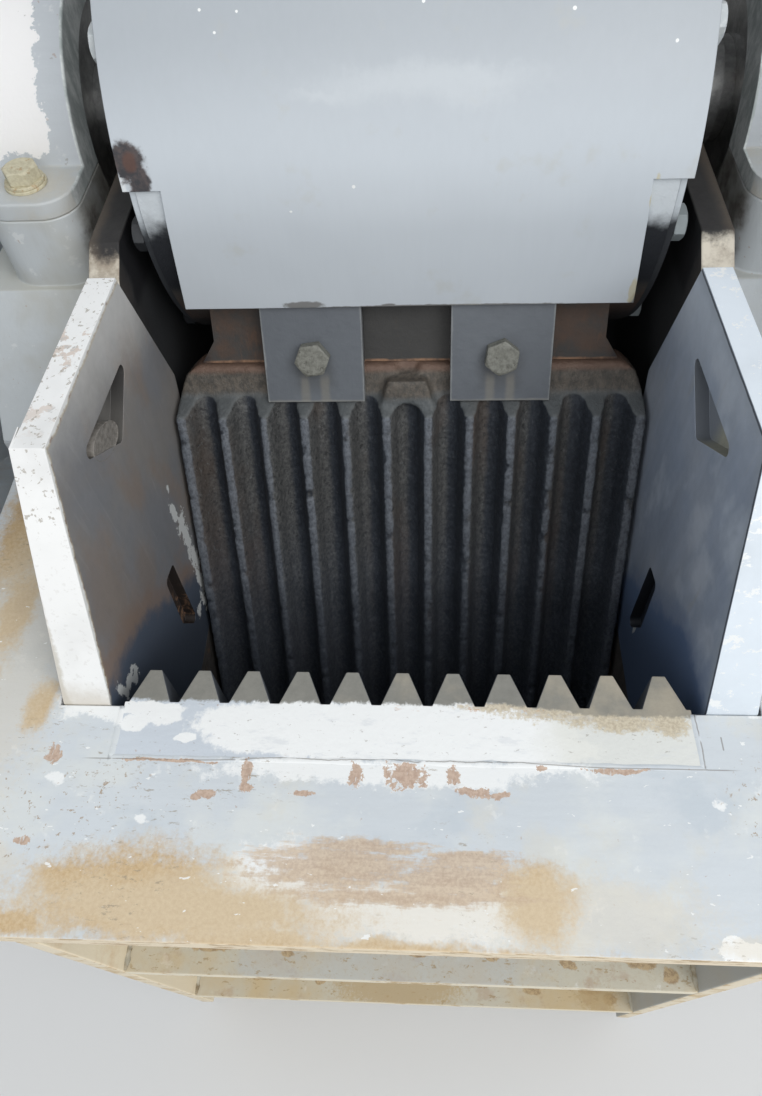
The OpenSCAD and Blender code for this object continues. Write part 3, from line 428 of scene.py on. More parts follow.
def fixedPlateSurface():
    p = Paint("fixedPlateSurface")
    rough = p.noise(30, 5, 0.7) - 0.5
    fine = p.noise(140, 4, 0.7) - 0.5
    grain = p.noise(280, 3, 0.7, shift=(5, 5, 0)) - 0.5
    top = p.fade(p.up, 0.7, 0.9)
    rear = p.fade(p.x, 0.11, 0.2) * 0.010
    band = p.fade(0 - p.y - rear + rough * 0.010 + fine * 0.012, 0.4085, 0.4125)
    casting = p.blend(tone(143, 141, 133), tone(114, 114, 108), p.noise(60, 4, 0.7))
    dusted = p.fade(p.noise(24, 3, shift=(6, 0, 0)) + p.x, 0.5, 0.85)
    casting = p.blend(casting, shades["dust"], dusted * 0.6)
    casting = p.dim(casting, 0.9 + 0.3 * (grain + 0.5) * 0.7)
    film, height = paintFilm(p, tone(200, 207, 214))
    whiteField = p.patches(p.x, p.y, fixedPlateMarks["white"], 0.03)
    white = p.fade(whiteField + rough * 0.5 + fine * 0.5, -0.04, 0.16)
    film = p.blend(film, shades["chalk"], white * 0.95)
    film = p.blend(film, tone(222, 222, 214), p.fade(p.x + rough * 0.06, 0.12, 0.17) * 0.8)
    dirtField = p.patches(p.x, p.y, fixedPlateMarks["dirt"], 0.02)
    dirt = p.fade(dirtField + fine * 1.4 + grain * 1.2, 0.0, 0.5)
    dirtTone = p.mottle(tone(176, 160, 132), tone(206, 194, 168), grain, -0.15, 0.15)
    film = p.blend(film, dirtTone, dirt * 0.85)
    rustTrace = p.spots(0.6, 0.66, 50, 4, 0.7, (1, 3, 1), (3, 1, 1))
    rustTrace = rustTrace * p.within(p.y, -0.418, -0.408, 0.003) * p.fade(p.x, -0.05, 0.05)
    film = p.blend(film, tone(186, 134, 84), rustTrace * 0.7)
    specks = p.spots(0.63, 0.67, 95, 4, 0.7, (1, 2, 1), (2, 2, 2))
    film = p.blend(film, tone(136, 126, 112), specks * 0.45)
    smears = p.spots(0.56, 0.68, 22, 5, 0.7, (1, 3, 1), (3, 6, 2))
    film = p.blend(film, tone(206, 210, 214), smears * 0.4)
    topFinish = p.blend(casting, film, band)
    # painted shade: faces that do not face up go dark blue-grey, darkest low in the chamber
    shadedFlank = p.mottle(tone(30, 34, 42), tone(84, 88, 94), p.z, 0.68, 0.80)
    shadedFlank = p.dim(shadedFlank, 0.8 + 0.5 * p.noise(70, 4, 0.7))
    colour = p.blend(shadedFlank, topFinish, top)
    return p.finish(colour, 0.72, p.noise(110, 4, 0.65) * 0.5, 0.0012)


cheekMarks = {
    "haze": [(-0.33, 0.86, 0.07, 0.12), (-0.25, 0.79, 0.05, 0.06), (-0.31, 0.80, 0.06, 0.05)],
    "pale": [
        (-0.253, 0.889, 0.030, 0.055), (-0.182, 1.027, 0.05, 0.025), (-0.05, 1.015, 0.02, 0.03),
        (-0.30, 0.86, 0.03, 0.05),
    ],
    "chip": [
        (-0.138, 0.748, 0.010, 0.020), (-0.134, 0.715, 0.017, 0.016), (-0.134, 0.685, 0.013, 0.030),
        (-0.138, 0.640, 0.013, 0.040), (-0.149, 0.597, 0.011, 0.034), (-0.163, 0.565, 0.008, 0.025),
        (-0.392, 0.775, 0.006, 0.022), (-0.38, 0.765, 0.020, 0.010), (-0.362, 0.752, 0.012, 0.010),
        (-0.185, 0.575, 0.010, 0.012), (-0.128, 0.785, 0.004, 0.008),
    ],
    "marks": [(-0.222, 0.607, 0.005, 0.02), (-0.215, 0.625, 0.008, 0.003)],
}


# per side: the light tone is painted light near the top, the shadow tone a painted shadow low down, and the
# low tone a band at that shadow's upper edge, painted shade on the right and brown on the left
cheekTones = {
    "left": {
        "inner": tone(134, 130, 126), "haze": tone(124, 125, 128), "shadow": tone(76, 88, 104),
        "warm": tone(140, 120, 104), "light": tone(200, 198, 194), "low": tone(136, 108, 88),
        "rim": tone(243, 243, 241), "warmth": 0.45, "scratches": 0.12,
    },
    "right": {
        "inner": tone(144, 155, 172), "haze": tone(162, 169, 180), "shadow": tone(94, 115, 148),
        "warm": tone(188, 197, 208), "light": tone(190, 198, 208), "low": tone(94, 115, 148),
        "rim": tone(222, 230, 237), "warmth": 0.6, "scratches": 0.3,
    },
}


def cheekSurface(name, tones, side):
    p = Paint(name)
    rough = p.noise(24, 5, 0.7) - 0.5
    fine = p.noise(110, 4, 0.7) - 0.5
    film = p.blend(tones["inner"], tones["haze"], p.spots(0.38, 0.66, 5, 4, 0.55, shift=(0, side * 2, 1)))
    hazeField = p.patches(p.y, p.z, cheekMarks["haze"], 0.04)
    if side < 0:
        film = p.blend(film, tone(132, 116, 102), p.fade(hazeField + rough, 0.0, 0.7) * 0.5)
    streaks = p.noise(30, 5, 0.65, (1, 1, 0.22), (0, side * 3, 0))
    film = p.dim(film, 0.84 + 0.3 * streaks if side < 0 else 0.74 + 0.5 * streaks)
    warm = p.spots(0.50, 0.68, 13, 4, 0.6, (1, 1, 0.6), (0, 2, side))
    film = p.blend(film, tones["warm"], warm * tones["warmth"])
    if side > 0:
        paleField = p.patches(p.y, p.z, cheekMarks["pale"], 0.05)
        film = p.blend(film, tone(184, 191, 201), p.fade(paleField + rough * 1.4, 0.0, 0.8) * 0.6)
    scratch = p.spots(0.62, 0.68, 70, 3, 0.6, (1, 1, 0.08), (0, 5, side))
    film = p.blend(film, tone(164, 164, 162), scratch * tones["scratches"])
    # painted light: the inner face lighter towards its top
    light = p.fade(p.z + p.y * 0.35 + rough * 0.05, 0.90, 1.01)
    film = p.blend(film, tones["light"], light * 0.85)
    film = p.dim(film, 0.92 + 0.16 * p.noise(90, 3, 0.6))
    # painted shadow: below a line across the lower face the shadow tone, with a band of the low tone above
    # it and darker still further down
    paintedShadowLine = 0.815 - 0.26 * (p.y + 0.416) - 0.75 * (p.y + 0.32).atLeast(0.0) - p.z
    film = p.blend(film, tones["low"], p.fade(paintedShadowLine + rough * 0.06, -0.05, -0.01) * 0.45)
    film = p.blend(film, tones["shadow"], p.fade(paintedShadowLine + rough * 0.07, -0.012, 0.02) * 0.94)
    film = p.dim(film, 1 - 0.35 * p.fade(paintedShadowLine, 0.0, 0.12))
    upper = p.fade(p.z, 0.79, 0.82)
    frontGap = (p.y + 0.416) * 0.904 - (p.z - 0.8) * 0.428
    topGap = 1.062 - (p.y + 0.292) * 0.06 - p.z
    edgeGap = frontGap.atMost(topGap)
    if side < 0:
        rim = 1 - p.fade(edgeGap + rough * 0.012 + fine * 0.006, 0.002, 0.0055)
        creamRim = 1 - p.fade(edgeGap + rough * 0.012 + fine * 0.004, 0.003, 0.008)
        rimRust = p.mottle(tone(196, 178, 146), tone(142, 104, 68), fine, 0.0, 0.1)
        film = p.blend(film, rimRust, creamRim * 0.8 * upper)
        film = p.blend(film, shades["chalk"], rim * 0.9 * upper)
        chipField = p.patches(p.y, p.z, cheekMarks["chip"], 0.014)
        chips = p.fade(chipField + rough * 1.2 + fine * 3.2, 0.10, 0.2)
        film = p.blend(film, tone(214, 216, 214), chips)
    else:
        seam = 1 - p.fade(abs(edgeGap - 0.002 + rough * 0.004), 0.0008, 0.002)
        # painted light: a lighter haze along the front and top edges
        paintedEdgeLight = 1 - p.fade(edgeGap + rough * 0.02, 0.0, 0.02)
        film = p.blend(film, tone(150, 158, 168), paintedEdgeLight * 0.5)
        film = p.blend(film, tone(44, 48, 56), seam * 0.8)
        marks = p.patches(p.y, p.z, cheekMarks["marks"], 0.004)
        film = p.blend(film, tone(180, 186, 190), p.fade(marks + fine * 0.6, 0.0, 0.2))
    inPocket = p.fade(abs(p.x), 0.3015, 0.303)
    if side > 0:
        pocketFront = p.blend(tone(186, 186, 172), tone(150, 148, 134), p.noise(120, 4, 0.7))
        pocketTone = p.mottle(pocketFront, tone(128, 134, 142), p.y + rough * 0.02, -0.20, -0.17)
        lowShadeAndRust = p.blend(tone(46, 52, 62), tone(30, 34, 42), p.noise(60, 3))
    else:
        pocketTone = p.mottle(tone(118, 115, 110), tone(74, 72, 70), p.y, -0.17, -0.12)
        rustLumps = p.spots(0.5, 0.6, 80, 4, 0.7) * (1 - p.fade(p.z, 0.63, 0.67))
        lowShadeAndRust = p.blend(tone(58, 50, 46), tone(140, 110, 88), rustLumps)
    # below the flange top the pocket takes the low tone: painted shade, near black on the right and dark
    # brown with rust lumps on the left
    pocketTone = p.mottle(lowShadeAndRust, pocketTone, p.z, 0.8, 0.85)
    pocketWall = abs(p.right)
    film = p.blend(film, pocketTone, inPocket * p.fade(pocketWall, 0.3, 0.7))
    outward = (1 - p.fade(pocketWall, 0.25, 0.6))
    insidePocket = p.within(p.z, 0.575, 0.745, 0.004) * p.within(p.y, -0.245, -0.185, 0.004)
    upperPocket = p.within(p.z, 0.93, 1.002, 0.004) * p.within(p.y, -0.25, -0.105, 0.004)
    insidePocket = insidePocket.atLeast(upperPocket)
    chalky = p.blend(tones["rim"], p.dim(tones["rim"], 0.86), p.spots(0.42, 0.7, 9, 4))
    specks = p.spots(0.60, 0.64, 170, 3, 0.6)
    whiteBits = p.spots(0.56, 0.60, 54, 5, 0.75, (1, 1, 1.6), (8, 3, 1))
    if side < 0:
        rustSpots = p.spots(0.53, 0.57, 44, 5, 0.7, shift=(0, 3, side))
        rustSpots = rustSpots * p.within(p.z, 0.985, 1.052, 0.03) * p.within(p.y, -0.27, -0.13, 0.02)
        rustTone = p.mottle(tone(172, 124, 70), tone(98, 78, 56), fine, 0.02, 0.12)
        chalky = p.blend(chalky, rustTone, rustSpots * 0.95)
        onTop = p.fade(p.z, 0.98, 1.0)
        chalky = p.blend(chalky, tone(150, 140, 124), specks * (0.12 + 0.5 * onTop))
        outerWear = p.fade(abs(p.x) + rough * 0.01 + fine * 0.008, 0.3400, 0.3440)
        chalky = p.blend(chalky, tone(196, 190, 176), outerWear * 0.7)
        foot = 1 - p.fade(p.z + rough * 0.05, 0.80, 0.83)
        chalky = p.blend(chalky, tone(206, 198, 184), foot * 0.7)
    else:
        chalky = p.blend(chalky, shades["chalk"], whiteBits * 0.85)
    # painted shade: the pocket walls are the pocket tone darkened
    shadedPocketSides = p.dim(pocketTone, 0.6)
    colour = p.blend(film, p.blend(chalky, shadedPocketSides, insidePocket), outward)
    height = p.noise(150, 2) * 0.25 + p.noise(40, 3) * 0.5
    return p.finish(colour, 0.6, height, 0.0007)


guardMarks = {
    # the worn band across the upper curve is a painted highlight
    "worn": [(0.02, 1.185, 0.15, 0.022), (0.06, 1.190, 0.10, 0.014), (-0.07, 1.180, 0.05, 0.010)],
    "burnt": [(-0.281, 1.128, 0.017, 0.019), (-0.272, 1.110, 0.011, 0.016)],
    "char": [(-0.277, 1.128, 0.009, 0.012)],
    # a painted highlight at the left edge below the burnt spot
    "paintedGlint": [(-0.272, 1.085, 0.020, 0.016), (-0.292, 1.09, 0.006, 0.04)],
    "smudge": [
        (-0.12, 0.9505, 0.030, 0.007), (-0.02, 0.949, 0.012, 0.004), (0.262, 0.95, 0.006, 0.014),
        (0.03, 0.9475, 0.2, 0.0025),
    ],
    "edgeRust": [
        (0.256, 1.085, 0.004, 0.022), (0.286, 1.30, 0.006, 0.03), (0.258, 0.965, 0.005, 0.02),
    ],
    "mark": [
        (-0.175, 1.228, 0.0017, 0.0012), (-0.153, 1.241, 0.0016, 0.0012), (-0.188, 1.243, 0.0016, 0.0012),
        (0.022, 1.243, 0.002, 0.0015), (0.255, 1.212, 0.0018, 0.0016), (0.160, 1.235, 0.0021, 0.0017),
        (-0.225, 1.262, 0.0018, 0.0016), (0.09, 1.265, 0.0017, 0.0012), (-0.118, 1.075, 0.0017, 0.0012),
        (0.225, 1.268, 0.0017, 0.0012), (-0.05, 1.10, 0.002, 0.002),
    ],
}


def guardPaint():
    p = Paint("guardPaint")
    rough = p.noise(26, 5, 0.65) - 0.5
    fine = p.noise(120, 4, 0.65) - 0.5
    cloud = p.noise(3.2, 3, 0.5)
    film = p.blend(tone(195, 202, 208), tone(204, 210, 215), cloud)
    # painted shade: the sheet is dimmed towards its top
    film = p.dim(film, 0.98 + 0.04 * p.noise(20, 3, 0.6, (7, 7, 1)) - 0.27 * p.fade(p.z, 1.12, 1.24))
    # painted highlight: a lighter band across the sheet's upper curve
    paintedGlareField = p.patches(p.x, p.z, guardMarks["worn"], 0.05)
    film = p.blend(film, tone(214, 219, 221), p.fade(paintedGlareField + fine * 0.6 + rough * 0.4, -0.1, 0.9) * 0.3)
    burntField = p.patches(p.x, p.z, guardMarks["burnt"], 0.014)
    burnt = p.fade(burntField + rough * 1.6 + fine * 0.8, -0.14, 0.22)
    film = p.blend(film, tone(110, 106, 104), p.fade(burntField + rough * 1.4, -0.25, 0.25) * 0.5)
    char = p.blend(tone(46, 46, 50), tone(82, 72, 70), p.spots(0.4, 0.62, 70, 4, 0.7, shift=(1, 1, 6)))
    scorched = p.fade(p.patches(p.x, p.z, guardMarks["char"]) + rough * 1.5, 0.0, 0.5)
    char = p.blend(char, tone(88, 58, 46), scorched * 0.8)
    film = p.blend(film, char, burnt * 0.97)
    # painted highlight: a lighter patch at the left edge below the burnt spot
    paintedGlintField = p.patches(p.x, p.z, guardMarks["paintedGlint"], 0.01)
    film = p.blend(film, tone(228, 231, 232), p.fade(paintedGlintField + rough * 0.5, 0.0, 0.4) * (1 - burnt) * 0.75)
    smudge = p.patches(p.x, p.z, guardMarks["smudge"], 0.004)
    film = p.blend(film, tone(104, 100, 94), p.fade(smudge + fine * 0.9, 0.02, 0.4) * 0.8)
    edgeRust = p.patches(p.x, p.z, guardMarks["edgeRust"], 0.002)
    film = p.blend(film, tone(196, 188, 158), p.fade(edgeRust + fine * 0.8, 0.0, 0.3) * 0.8)
    markField = p.patches(p.x, p.z, guardMarks["mark"], 0.002)
    flecks = p.fade(markField + fine * 0.9, 0.0, 0.25)
    film = p.blend(film, shades["chalk"], flecks * 0.95)
    film = p.blend(film, tone(186, 184, 170), p.spots(0.6, 0.74, 18, 4, 0.6, shift=(2, 2, 2)) * 0.25)
    return p.finish(film, 0.44 + 0.2 * burnt + 0.08 * cloud, p.noise(7, 2) * 3, 0.0008)


def sootAndShadeLine(p, reach):
    # 1 beyond a ragged line: soot run down from the hub, and painted shade in the gaps round it
    rough = p.noise(18, 5, 0.65) - 0.5
    return p.fade(reach + rough * 0.06, 0.0, 0.03)


def hubPaint():
    p = Paint("hubPaint")
    film = p.dim(tone(196, 203, 208), 0.9 + 0.2 * p.noise(18, 4, 0.6))
    # black below a ragged line low on the hub, soot, and on the sideways faces below the top, painted shade
    # in the gap beside the hub
    sootAndShade = sootAndShadeLine(p, 1.075 - p.z).atLeast(p.fade(abs(p.right), 0.5, 0.8) * (1 - p.fade(p.z, 1.30, 1.33)))
    film = p.blend(film, shades["sootAndShade"], sootAndShade * 0.97)
    return p.finish(film, 0.55 + 0.3 * sootAndShade, p.noise(80, 3), 0.0006)


def jawCasting():
    p = Paint("jawCasting")
    rough = p.noise(36, 5, 0.7) - 0.5
    base = p.blend(tone(49, 49, 48), tone(70, 69, 67), p.noise(14, 4, 0.65))
    gap = p.y * sin(radians(25)) + p.z * cos(radians(25))
    panels = p.fade(abs(p.x), 0.165, 0.185) * p.within(gap, 0.79, 0.88, 0.01)
    panelTone = p.blend(tone(104, 72, 50), tone(72, 60, 52), p.noise(30, 4, 0.65))
    base = p.blend(base, panelTone, panels * p.spots(0.3, 0.6, 26, 3) * 0.6)
    streaks = p.spots(0.6, 0.72, 22, 4, 0.7, (5, 1, 1), (2, 0, 0))
    base = p.blend(base, tone(104, 76, 56), streaks * 0.3)
    line = abs(gap - 0.7876) + rough * 0.006
    lineTone = p.blend(tone(160, 124, 96), tone(104, 80, 64), p.spots(0.42, 0.6, 26, 4, 0.7, (1, 0.3, 0.3)))
    base = p.blend(base, lineTone, (1 - p.fade(line, 0.001, 0.0035)) * 0.75)
    # the rim is painted, black below a ragged line of soot low down, and black on its sideways faces:
    # painted shade in the gap beside the hub
    rim = p.fade(abs(p.x), 0.236, 0.242) * p.fade(p.z, 0.95, 0.97)
    gapShadedSides = p.fade(abs(p.right), 0.5, 0.8)
    rimFilm = p.blend(tone(200, 206, 210), shades["sootAndShade"], sootAndShadeLine(p, 1.072 - p.z).atLeast(gapShadedSides))
    base = p.blend(base, rimFilm, rim)
    # painted shade: the casting's outer sides go dark towards black low down
    base = p.blend(base, shades["sootAndShade"], p.fade(0.96 - p.z, 0.0, 0.1) * p.fade(abs(p.x), 0.245, 0.26) * 0.8)
    return p.finish(base, 0.75, p.noise(90, 4, 0.7), 0.0012)


jawFace = {"lean": 25, "crest": (-0.049, 0.828)}  # degrees from upright; y and z of the crests' upper ends


def faceAxes(p):
    # depth behind the tooth crests and height above their upper ends, in metres
    lean = radians(jawFace["lean"])
    y, z = jawFace["crest"]
    depth = (p.y - y) * cos(lean) - (p.z - z) * sin(lean)
    up = (p.y - y) * sin(lean) + (p.z - z) * cos(lean)
    return depth, up


def manganeseSurface():
    p = Paint("manganeseSurface")
    depth, up = faceAxes(p)
    grain = p.noise(260, 4, 0.8, (1, 0.7, 0.7))
    lumps = p.noise(48, 5, 0.7)
    clouds = p.noise(9, 4, 0.6, (1, 0.5, 0.5), (0, 5, 0))
    # painted light and shade: flanks facing right take the lighter speckled tone, flanks facing left a dark
    # blue-grey, and glints are painted more on the right-facing side
    dusty = p.mottle(tone(60, 61, 62), tone(94, 94, 92), grain, 0.34, 0.66)
    dusty = p.blend(dusty, tone(84, 70, 60), p.fade(clouds, 0.46, 0.66) * 0.55)
    dusty = p.blend(dusty, tone(34, 34, 34), p.spots(0.56, 0.64, 120, 4, 0.75, shift=(4, 1, 4)) * 0.7)
    dark = p.mottle(tone(33, 38, 46), tone(55, 61, 69), grain, 0.4, 0.7)
    dusted = p.fade(p.right + (lumps - 0.5) * 0.5, -0.25, 0.45)
    base = p.blend(dark, dusty, dusted)
    sparkle = p.spots(0.60, 0.68, 230, 3, 0.7, (1, 0.6, 0.6), (4, 4, 4))
    base = p.blend(base, tone(118, 120, 120), sparkle * (0.2 + 0.35 * dusted))
    crest = 1 - p.fade(depth + (lumps - 0.5) * 0.004, 0.0008, 0.0030)
    base = p.blend(base, p.mottle(tone(86, 90, 96), tone(116, 122, 130), grain, 0.36, 0.6), crest * 0.72)
    bevelled = p.within(up + (lumps - 0.5) * 0.004, -0.002, 0.022, 0.003)
    bevelled = bevelled * (1 - p.fade(depth - up * 1.84, 0.002, 0.006))
    base = p.blend(base, p.blend(tone(88, 92, 93), tone(104, 108, 108), grain), bevelled * 0.7)
    land = p.fade(up + (lumps - 0.5) * 0.01, 0.014, 0.026)
    landTone = p.blend(tone(74, 70, 64), tone(104, 96, 86), p.spots(0.35, 0.65, 150, 4, 0.75, (1, 1, 0.5)))
    base = p.blend(base, landTone, land * 0.88)
    upperBand = p.fade(up + (lumps - 0.5) * 0.006, 0.044, 0.052)
    base = p.blend(base, tone(118, 88, 72), upperBand * 0.6)
    # painted light: the plate turns a lighter blue-grey low in the chamber
    lowTone = p.mottle(tone(60, 67, 78), tone(90, 95, 102), grain, 0.4, 0.7)
    base = p.blend(base, lowTone, (1 - p.fade(p.z, 0.45, 0.74)) * 0.8)
    height = grain * 0.6 + lumps
    return p.finish(base, 0.62 - 0.1 * crest, height, 0.0024)


def tabPaint():
    p = Paint("tabPaint")
    depth, up = faceAxes(p)
    rough = p.noise(30, 4, 0.65) - 0.5
    film = p.blend(tone(84, 88, 94), tone(98, 103, 108), p.noise(9, 3))
    beside = (abs(p.x) - 0.115).calc("ABSOLUTE")
    # painted shadow: a darker band below each bolt head
    shade = 1 - p.fade(beside + rough * 0.02, 0.014, 0.034)
    film = p.blend(film, tone(72, 74, 76), shade * p.within(up, 0.03, 0.072, 0.012) * 0.6)
    stainA = 1 - p.fade(abs(beside - 0.0125) + rough * 0.006, 0.002, 0.008)
    film = p.blend(film, tone(124, 121, 112), stainA * (1 - p.fade(up, 0.04, 0.056)) * 0.55)
    edges = p.fade(beside + rough * 0.006, 0.0585, 0.061)
    film = p.blend(film, tone(142, 144, 143), edges * 0.6)
    lower = 1 - p.fade(up + rough * 0.006, 0.0145, 0.018)
    film = p.blend(film, tone(142, 140, 133), lower * 0.5)
    film = p.dim(film, 0.9 + 0.2 * p.noise(60, 4, 0.65))
    return p.finish(film, 0.5, p.noise(110, 3) + rough * 0.4, 0.0005)


def boltSurface(name, light, dark, spots):
    p = Paint(name)
    grain = p.noise(190, 4, 0.7)
    film = p.mottle(dark, light, grain, 0.32, 0.66)
    film = p.blend(film, spots, p.spots(0.58, 0.66, 110, 4, 0.7, shift=(3, 3, 0)) * 0.6)
    return p.finish(film, 0.62, grain, 0.0008)


def coverBoltSurface():
    p = Paint("coverBoltSurface")
    film = p.blend(tone(188, 194, 196), tone(206, 210, 210), p.spots(0.4, 0.6, 80, 4, 0.7))
    # the low bolts darkened: soot, with painted shade, black on the left and grey on the right
    lowSootAndShade = p.fade(1.14 - p.z, 0.0, 0.08)
    film = p.blend(film, p.mottle(tone(18, 20, 25), tone(132, 140, 142), p.x, -0.1, 0.1), lowSootAndShade * 0.97)
    return p.finish(film, 0.55, p.noise(150, 3), 0.0005)


def housingPaint():
    p = Paint("housingPaint")
    film, height = paintFilm(p, tone(201, 206, 208), 1.0, "z")
    rough = p.noise(22, 5, 0.65) - 0.5
    dirt = p.spots(0.48, 0.7, 6, 4, 0.6, shift=(7, 0, 2))
    film = p.blend(film, tone(180, 176, 162), dirt * 0.5)
    ledge = p.fade(p.up, 0.8, 0.95)
    film = p.blend(film, tone(196, 194, 182), ledge * 0.5)
    # painted shade: the inner side facing the hub darkens lower down and goes black near the gap
    inward = p.fade(0.386 - abs(p.x) + rough * 0.02, 0.0, 0.012)
    inner = p.mottle(tone(150, 148, 140), tone(74, 62, 54), rough + (1.0 - p.z) * 1.2, -0.1, 0.25)
    film = p.blend(film, inner, inward * 0.9)
    sootAndShade = sootAndShadeLine(p, 0.372 - abs(p.x))
    film = p.blend(film, shades["sootAndShade"], sootAndShade * 0.9)
    return p.finish(film, 0.58, height, 0.0008)


def capPaint():
    p = Paint("capPaint")
    film, height = paintFilm(p, tone(202, 207, 211), 1.0, "x")
    rough = p.noise(22, 6, 0.78) - 0.5
    fine = p.noise(110, 3, 0.6, shift=(2, 2, 2)) - 0.5
    reach = abs(p.x) + rough * 0.055 + fine * 0.008
    white = p.fade(reach, 0.4085, 0.4095) * p.fade(p.z + rough * 0.06, 1.072, 1.075)
    film = p.blend(film, tone(254, 252, 250), white * 0.98)
    bare = p.spots(0.7, 0.72, 60, 3, shift=(1, 0, 5))
    film = p.blend(film, tone(150, 146, 138), bare * 0.5)
    flat = 1 - p.fade(p.z, 1.0625, 1.065)
    dusty = p.blend(tone(196, 200, 200), tone(198, 194, 182), p.spots(0.4, 0.65, 14, 4, 0.6))
    film = p.blend(film, dusty, flat * 0.8)
    inner = p.fade(0.3805 - abs(p.x) + rough * 0.003, 0.0, 0.0015)
    texture = p.noise(46, 5, 0.7, (1, 1, 0.5))
    innerTone = p.mottle(tone(236, 240, 238), tone(182, 190, 188), texture, 0.35, 0.65)
    # painted shade: the inner face goes black round the shaft and darker low at the front
    radius = ((p.y - 0.313) ** 2 + (p.z - 1.04) ** 2).calc("SQRT")
    innerTone = p.mottle(shades["sootAndShade"], innerTone, radius + rough * 0.03, 0.100, 0.128)
    below = p.fade(0.15 - p.y + rough * 0.1, 0.0, 0.12) * p.fade(1.16 - p.z, 0.0, 0.1)
    innerTone = p.blend(innerTone, tone(60, 58, 56), below * 0.6)
    film = p.blend(film, innerTone, inner)
    return p.finish(film, 0.55, height + texture * 0.4, 0.0008)


def platePaint(name, colour, dirtColour, dirtAmount, coarse=1.0):
    p = Paint(name)
    film, height = paintFilm(p, colour, coarse, "z")
    dirt = p.spots(0.46, 0.66, 4.5, 5, 0.65, shift=(3, 0, 1))
    film = p.blend(film, dirtColour, dirt * dirtAmount)
    drips = p.spots(0.56, 0.68, 9, 5, 0.65, (3, 3, 0.5), (0, 6, 0))
    film = p.blend(film, shades["brownRust"], drips * dirtAmount * 0.45)
    low = 1 - p.fade(p.z + 0.1 * p.noise(7, 4), 0.05, 0.35)
    film = p.blend(film, shades["dust"], low * 0.35)
    return p, film, height


def bodyPaint(name, colour, dirtColour, dirtAmount, coarse=1.0):
    p, film, height = platePaint(name, colour, dirtColour, dirtAmount, coarse)
    return p.finish(film, 0.62, height, 0.0006)


def sideWallPaint():
    p, film, height = platePaint("sideWallPaint", tone(190, 196, 200), tone(170, 156, 134), 0.45)
    rough = p.noise(24, 5, 0.7) - 0.5
    cream = p.blend(tone(236, 222, 194), tone(222, 196, 158), p.spots(0.5, 0.7, 12, 5, 0.65))
    # painted shade: the front of each inner face is cream on the left wall and a darker grey on the right
    # wall, which is in shade
    shaded = p.blend(tone(178, 184, 186), tone(184, 174, 154), p.noise(12, 4))
    front = p.fade(0 - p.y, 0.5, 0.52) * p.fade(0.334 - abs(p.x), 0.0, 0.002)
    film = p.blend(film, p.mottle(cream, shaded, p.x, -0.1, 0.1), front)
    frontEdge = p.fade(0 - p.back, 0.6, 0.9) * p.fade(0 - p.y, 0.6, 0.61)
    film = p.blend(film, p.mottle(tone(222, 210, 186), tone(196, 172, 132), rough, -0.02, 0.1), frontEdge)
    # painted shade: inside the chamber the walls run from dark brown at the front to near black further
    # back
    chamber = p.within(p.y, -0.39, 0.485, 0.01) * p.fade(0.345 - abs(p.x), 0.0, 0.008)
    inside = p.mottle(tone(70, 58, 48), tone(20, 20, 22), p.y + rough * 0.06, -0.06, 0.03)
    ledge = p.within(p.z, 0.80, 1.05, 0.004) * p.fade(p.up.atLeast(0 - p.back), 0.2, 0.4)
    ledgeTone = p.mottle(tone(214, 206, 190), tone(162, 150, 134), rough, -0.1, 0.15)
    film = p.blend(film, inside, chamber * 0.96)
    film = p.blend(film, ledgeTone, ledge * p.fade(p.y, -0.09, -0.07) * p.fade(abs(p.x), 0.3149, 0.3151))
    black = p.within(p.y + rough * 0.05, 0.014, 0.50, 0.008) * p.fade(p.z, 0.95, 0.97)
    black = black * p.fade(0.352 - abs(p.x), 0.0, 0.001)
    blackTone = p.mottle(tone(24, 24, 27), tone(74, 66, 58), abs(p.x) + rough * 0.02, 0.334, 0.348)
    film = p.blend(film, blackTone, black * 0.97)
    return p.finish(film, 0.66, height, 0.0009)


def innerWallPaint(name, colour):
    # plates round the chamber: paint outside, dark rusty brown to near black inside, the darkness painted
    # shade
    p, film, height = platePaint(name, colour, tone(160, 146, 122), 0.5)
    inside = p.within(p.y, -0.47, 0.50, 0.01) * p.fade(0.332 - abs(p.x), 0.0, 0.002)
    film = p.blend(film, p.blend(tone(66, 56, 48), tone(34, 32, 32), p.noise(14, 4, 0.6)), inside * 0.95)
    return p.finish(film, 0.68, height, 0.0008)


frontRibMarks = {
    "grey": [(0.0, 0.51, 0.20, 0.2), (-0.16, 0.51, 0.05, 0.2)],
    "rust": [
        (-0.232, -0.60, 0.030, 0.006), (0.10, -0.60, 0.012, 0.006), (0.185, -0.607, 0.014, 0.006),
        (0.27, -0.60, 0.02, 0.012), (0.30, -0.615, 0.012, 0.010), (0.02, -0.60, 0.02, 0.004),
        (-0.14, -0.605, 0.01, 0.004), (-0.05, -0.585, 0.03, 0.004),
    ],
    "lowTan": [(-0.02, -0.60, 0.12, 0.05), (0.28, -0.60, 0.04, 0.05)],
}


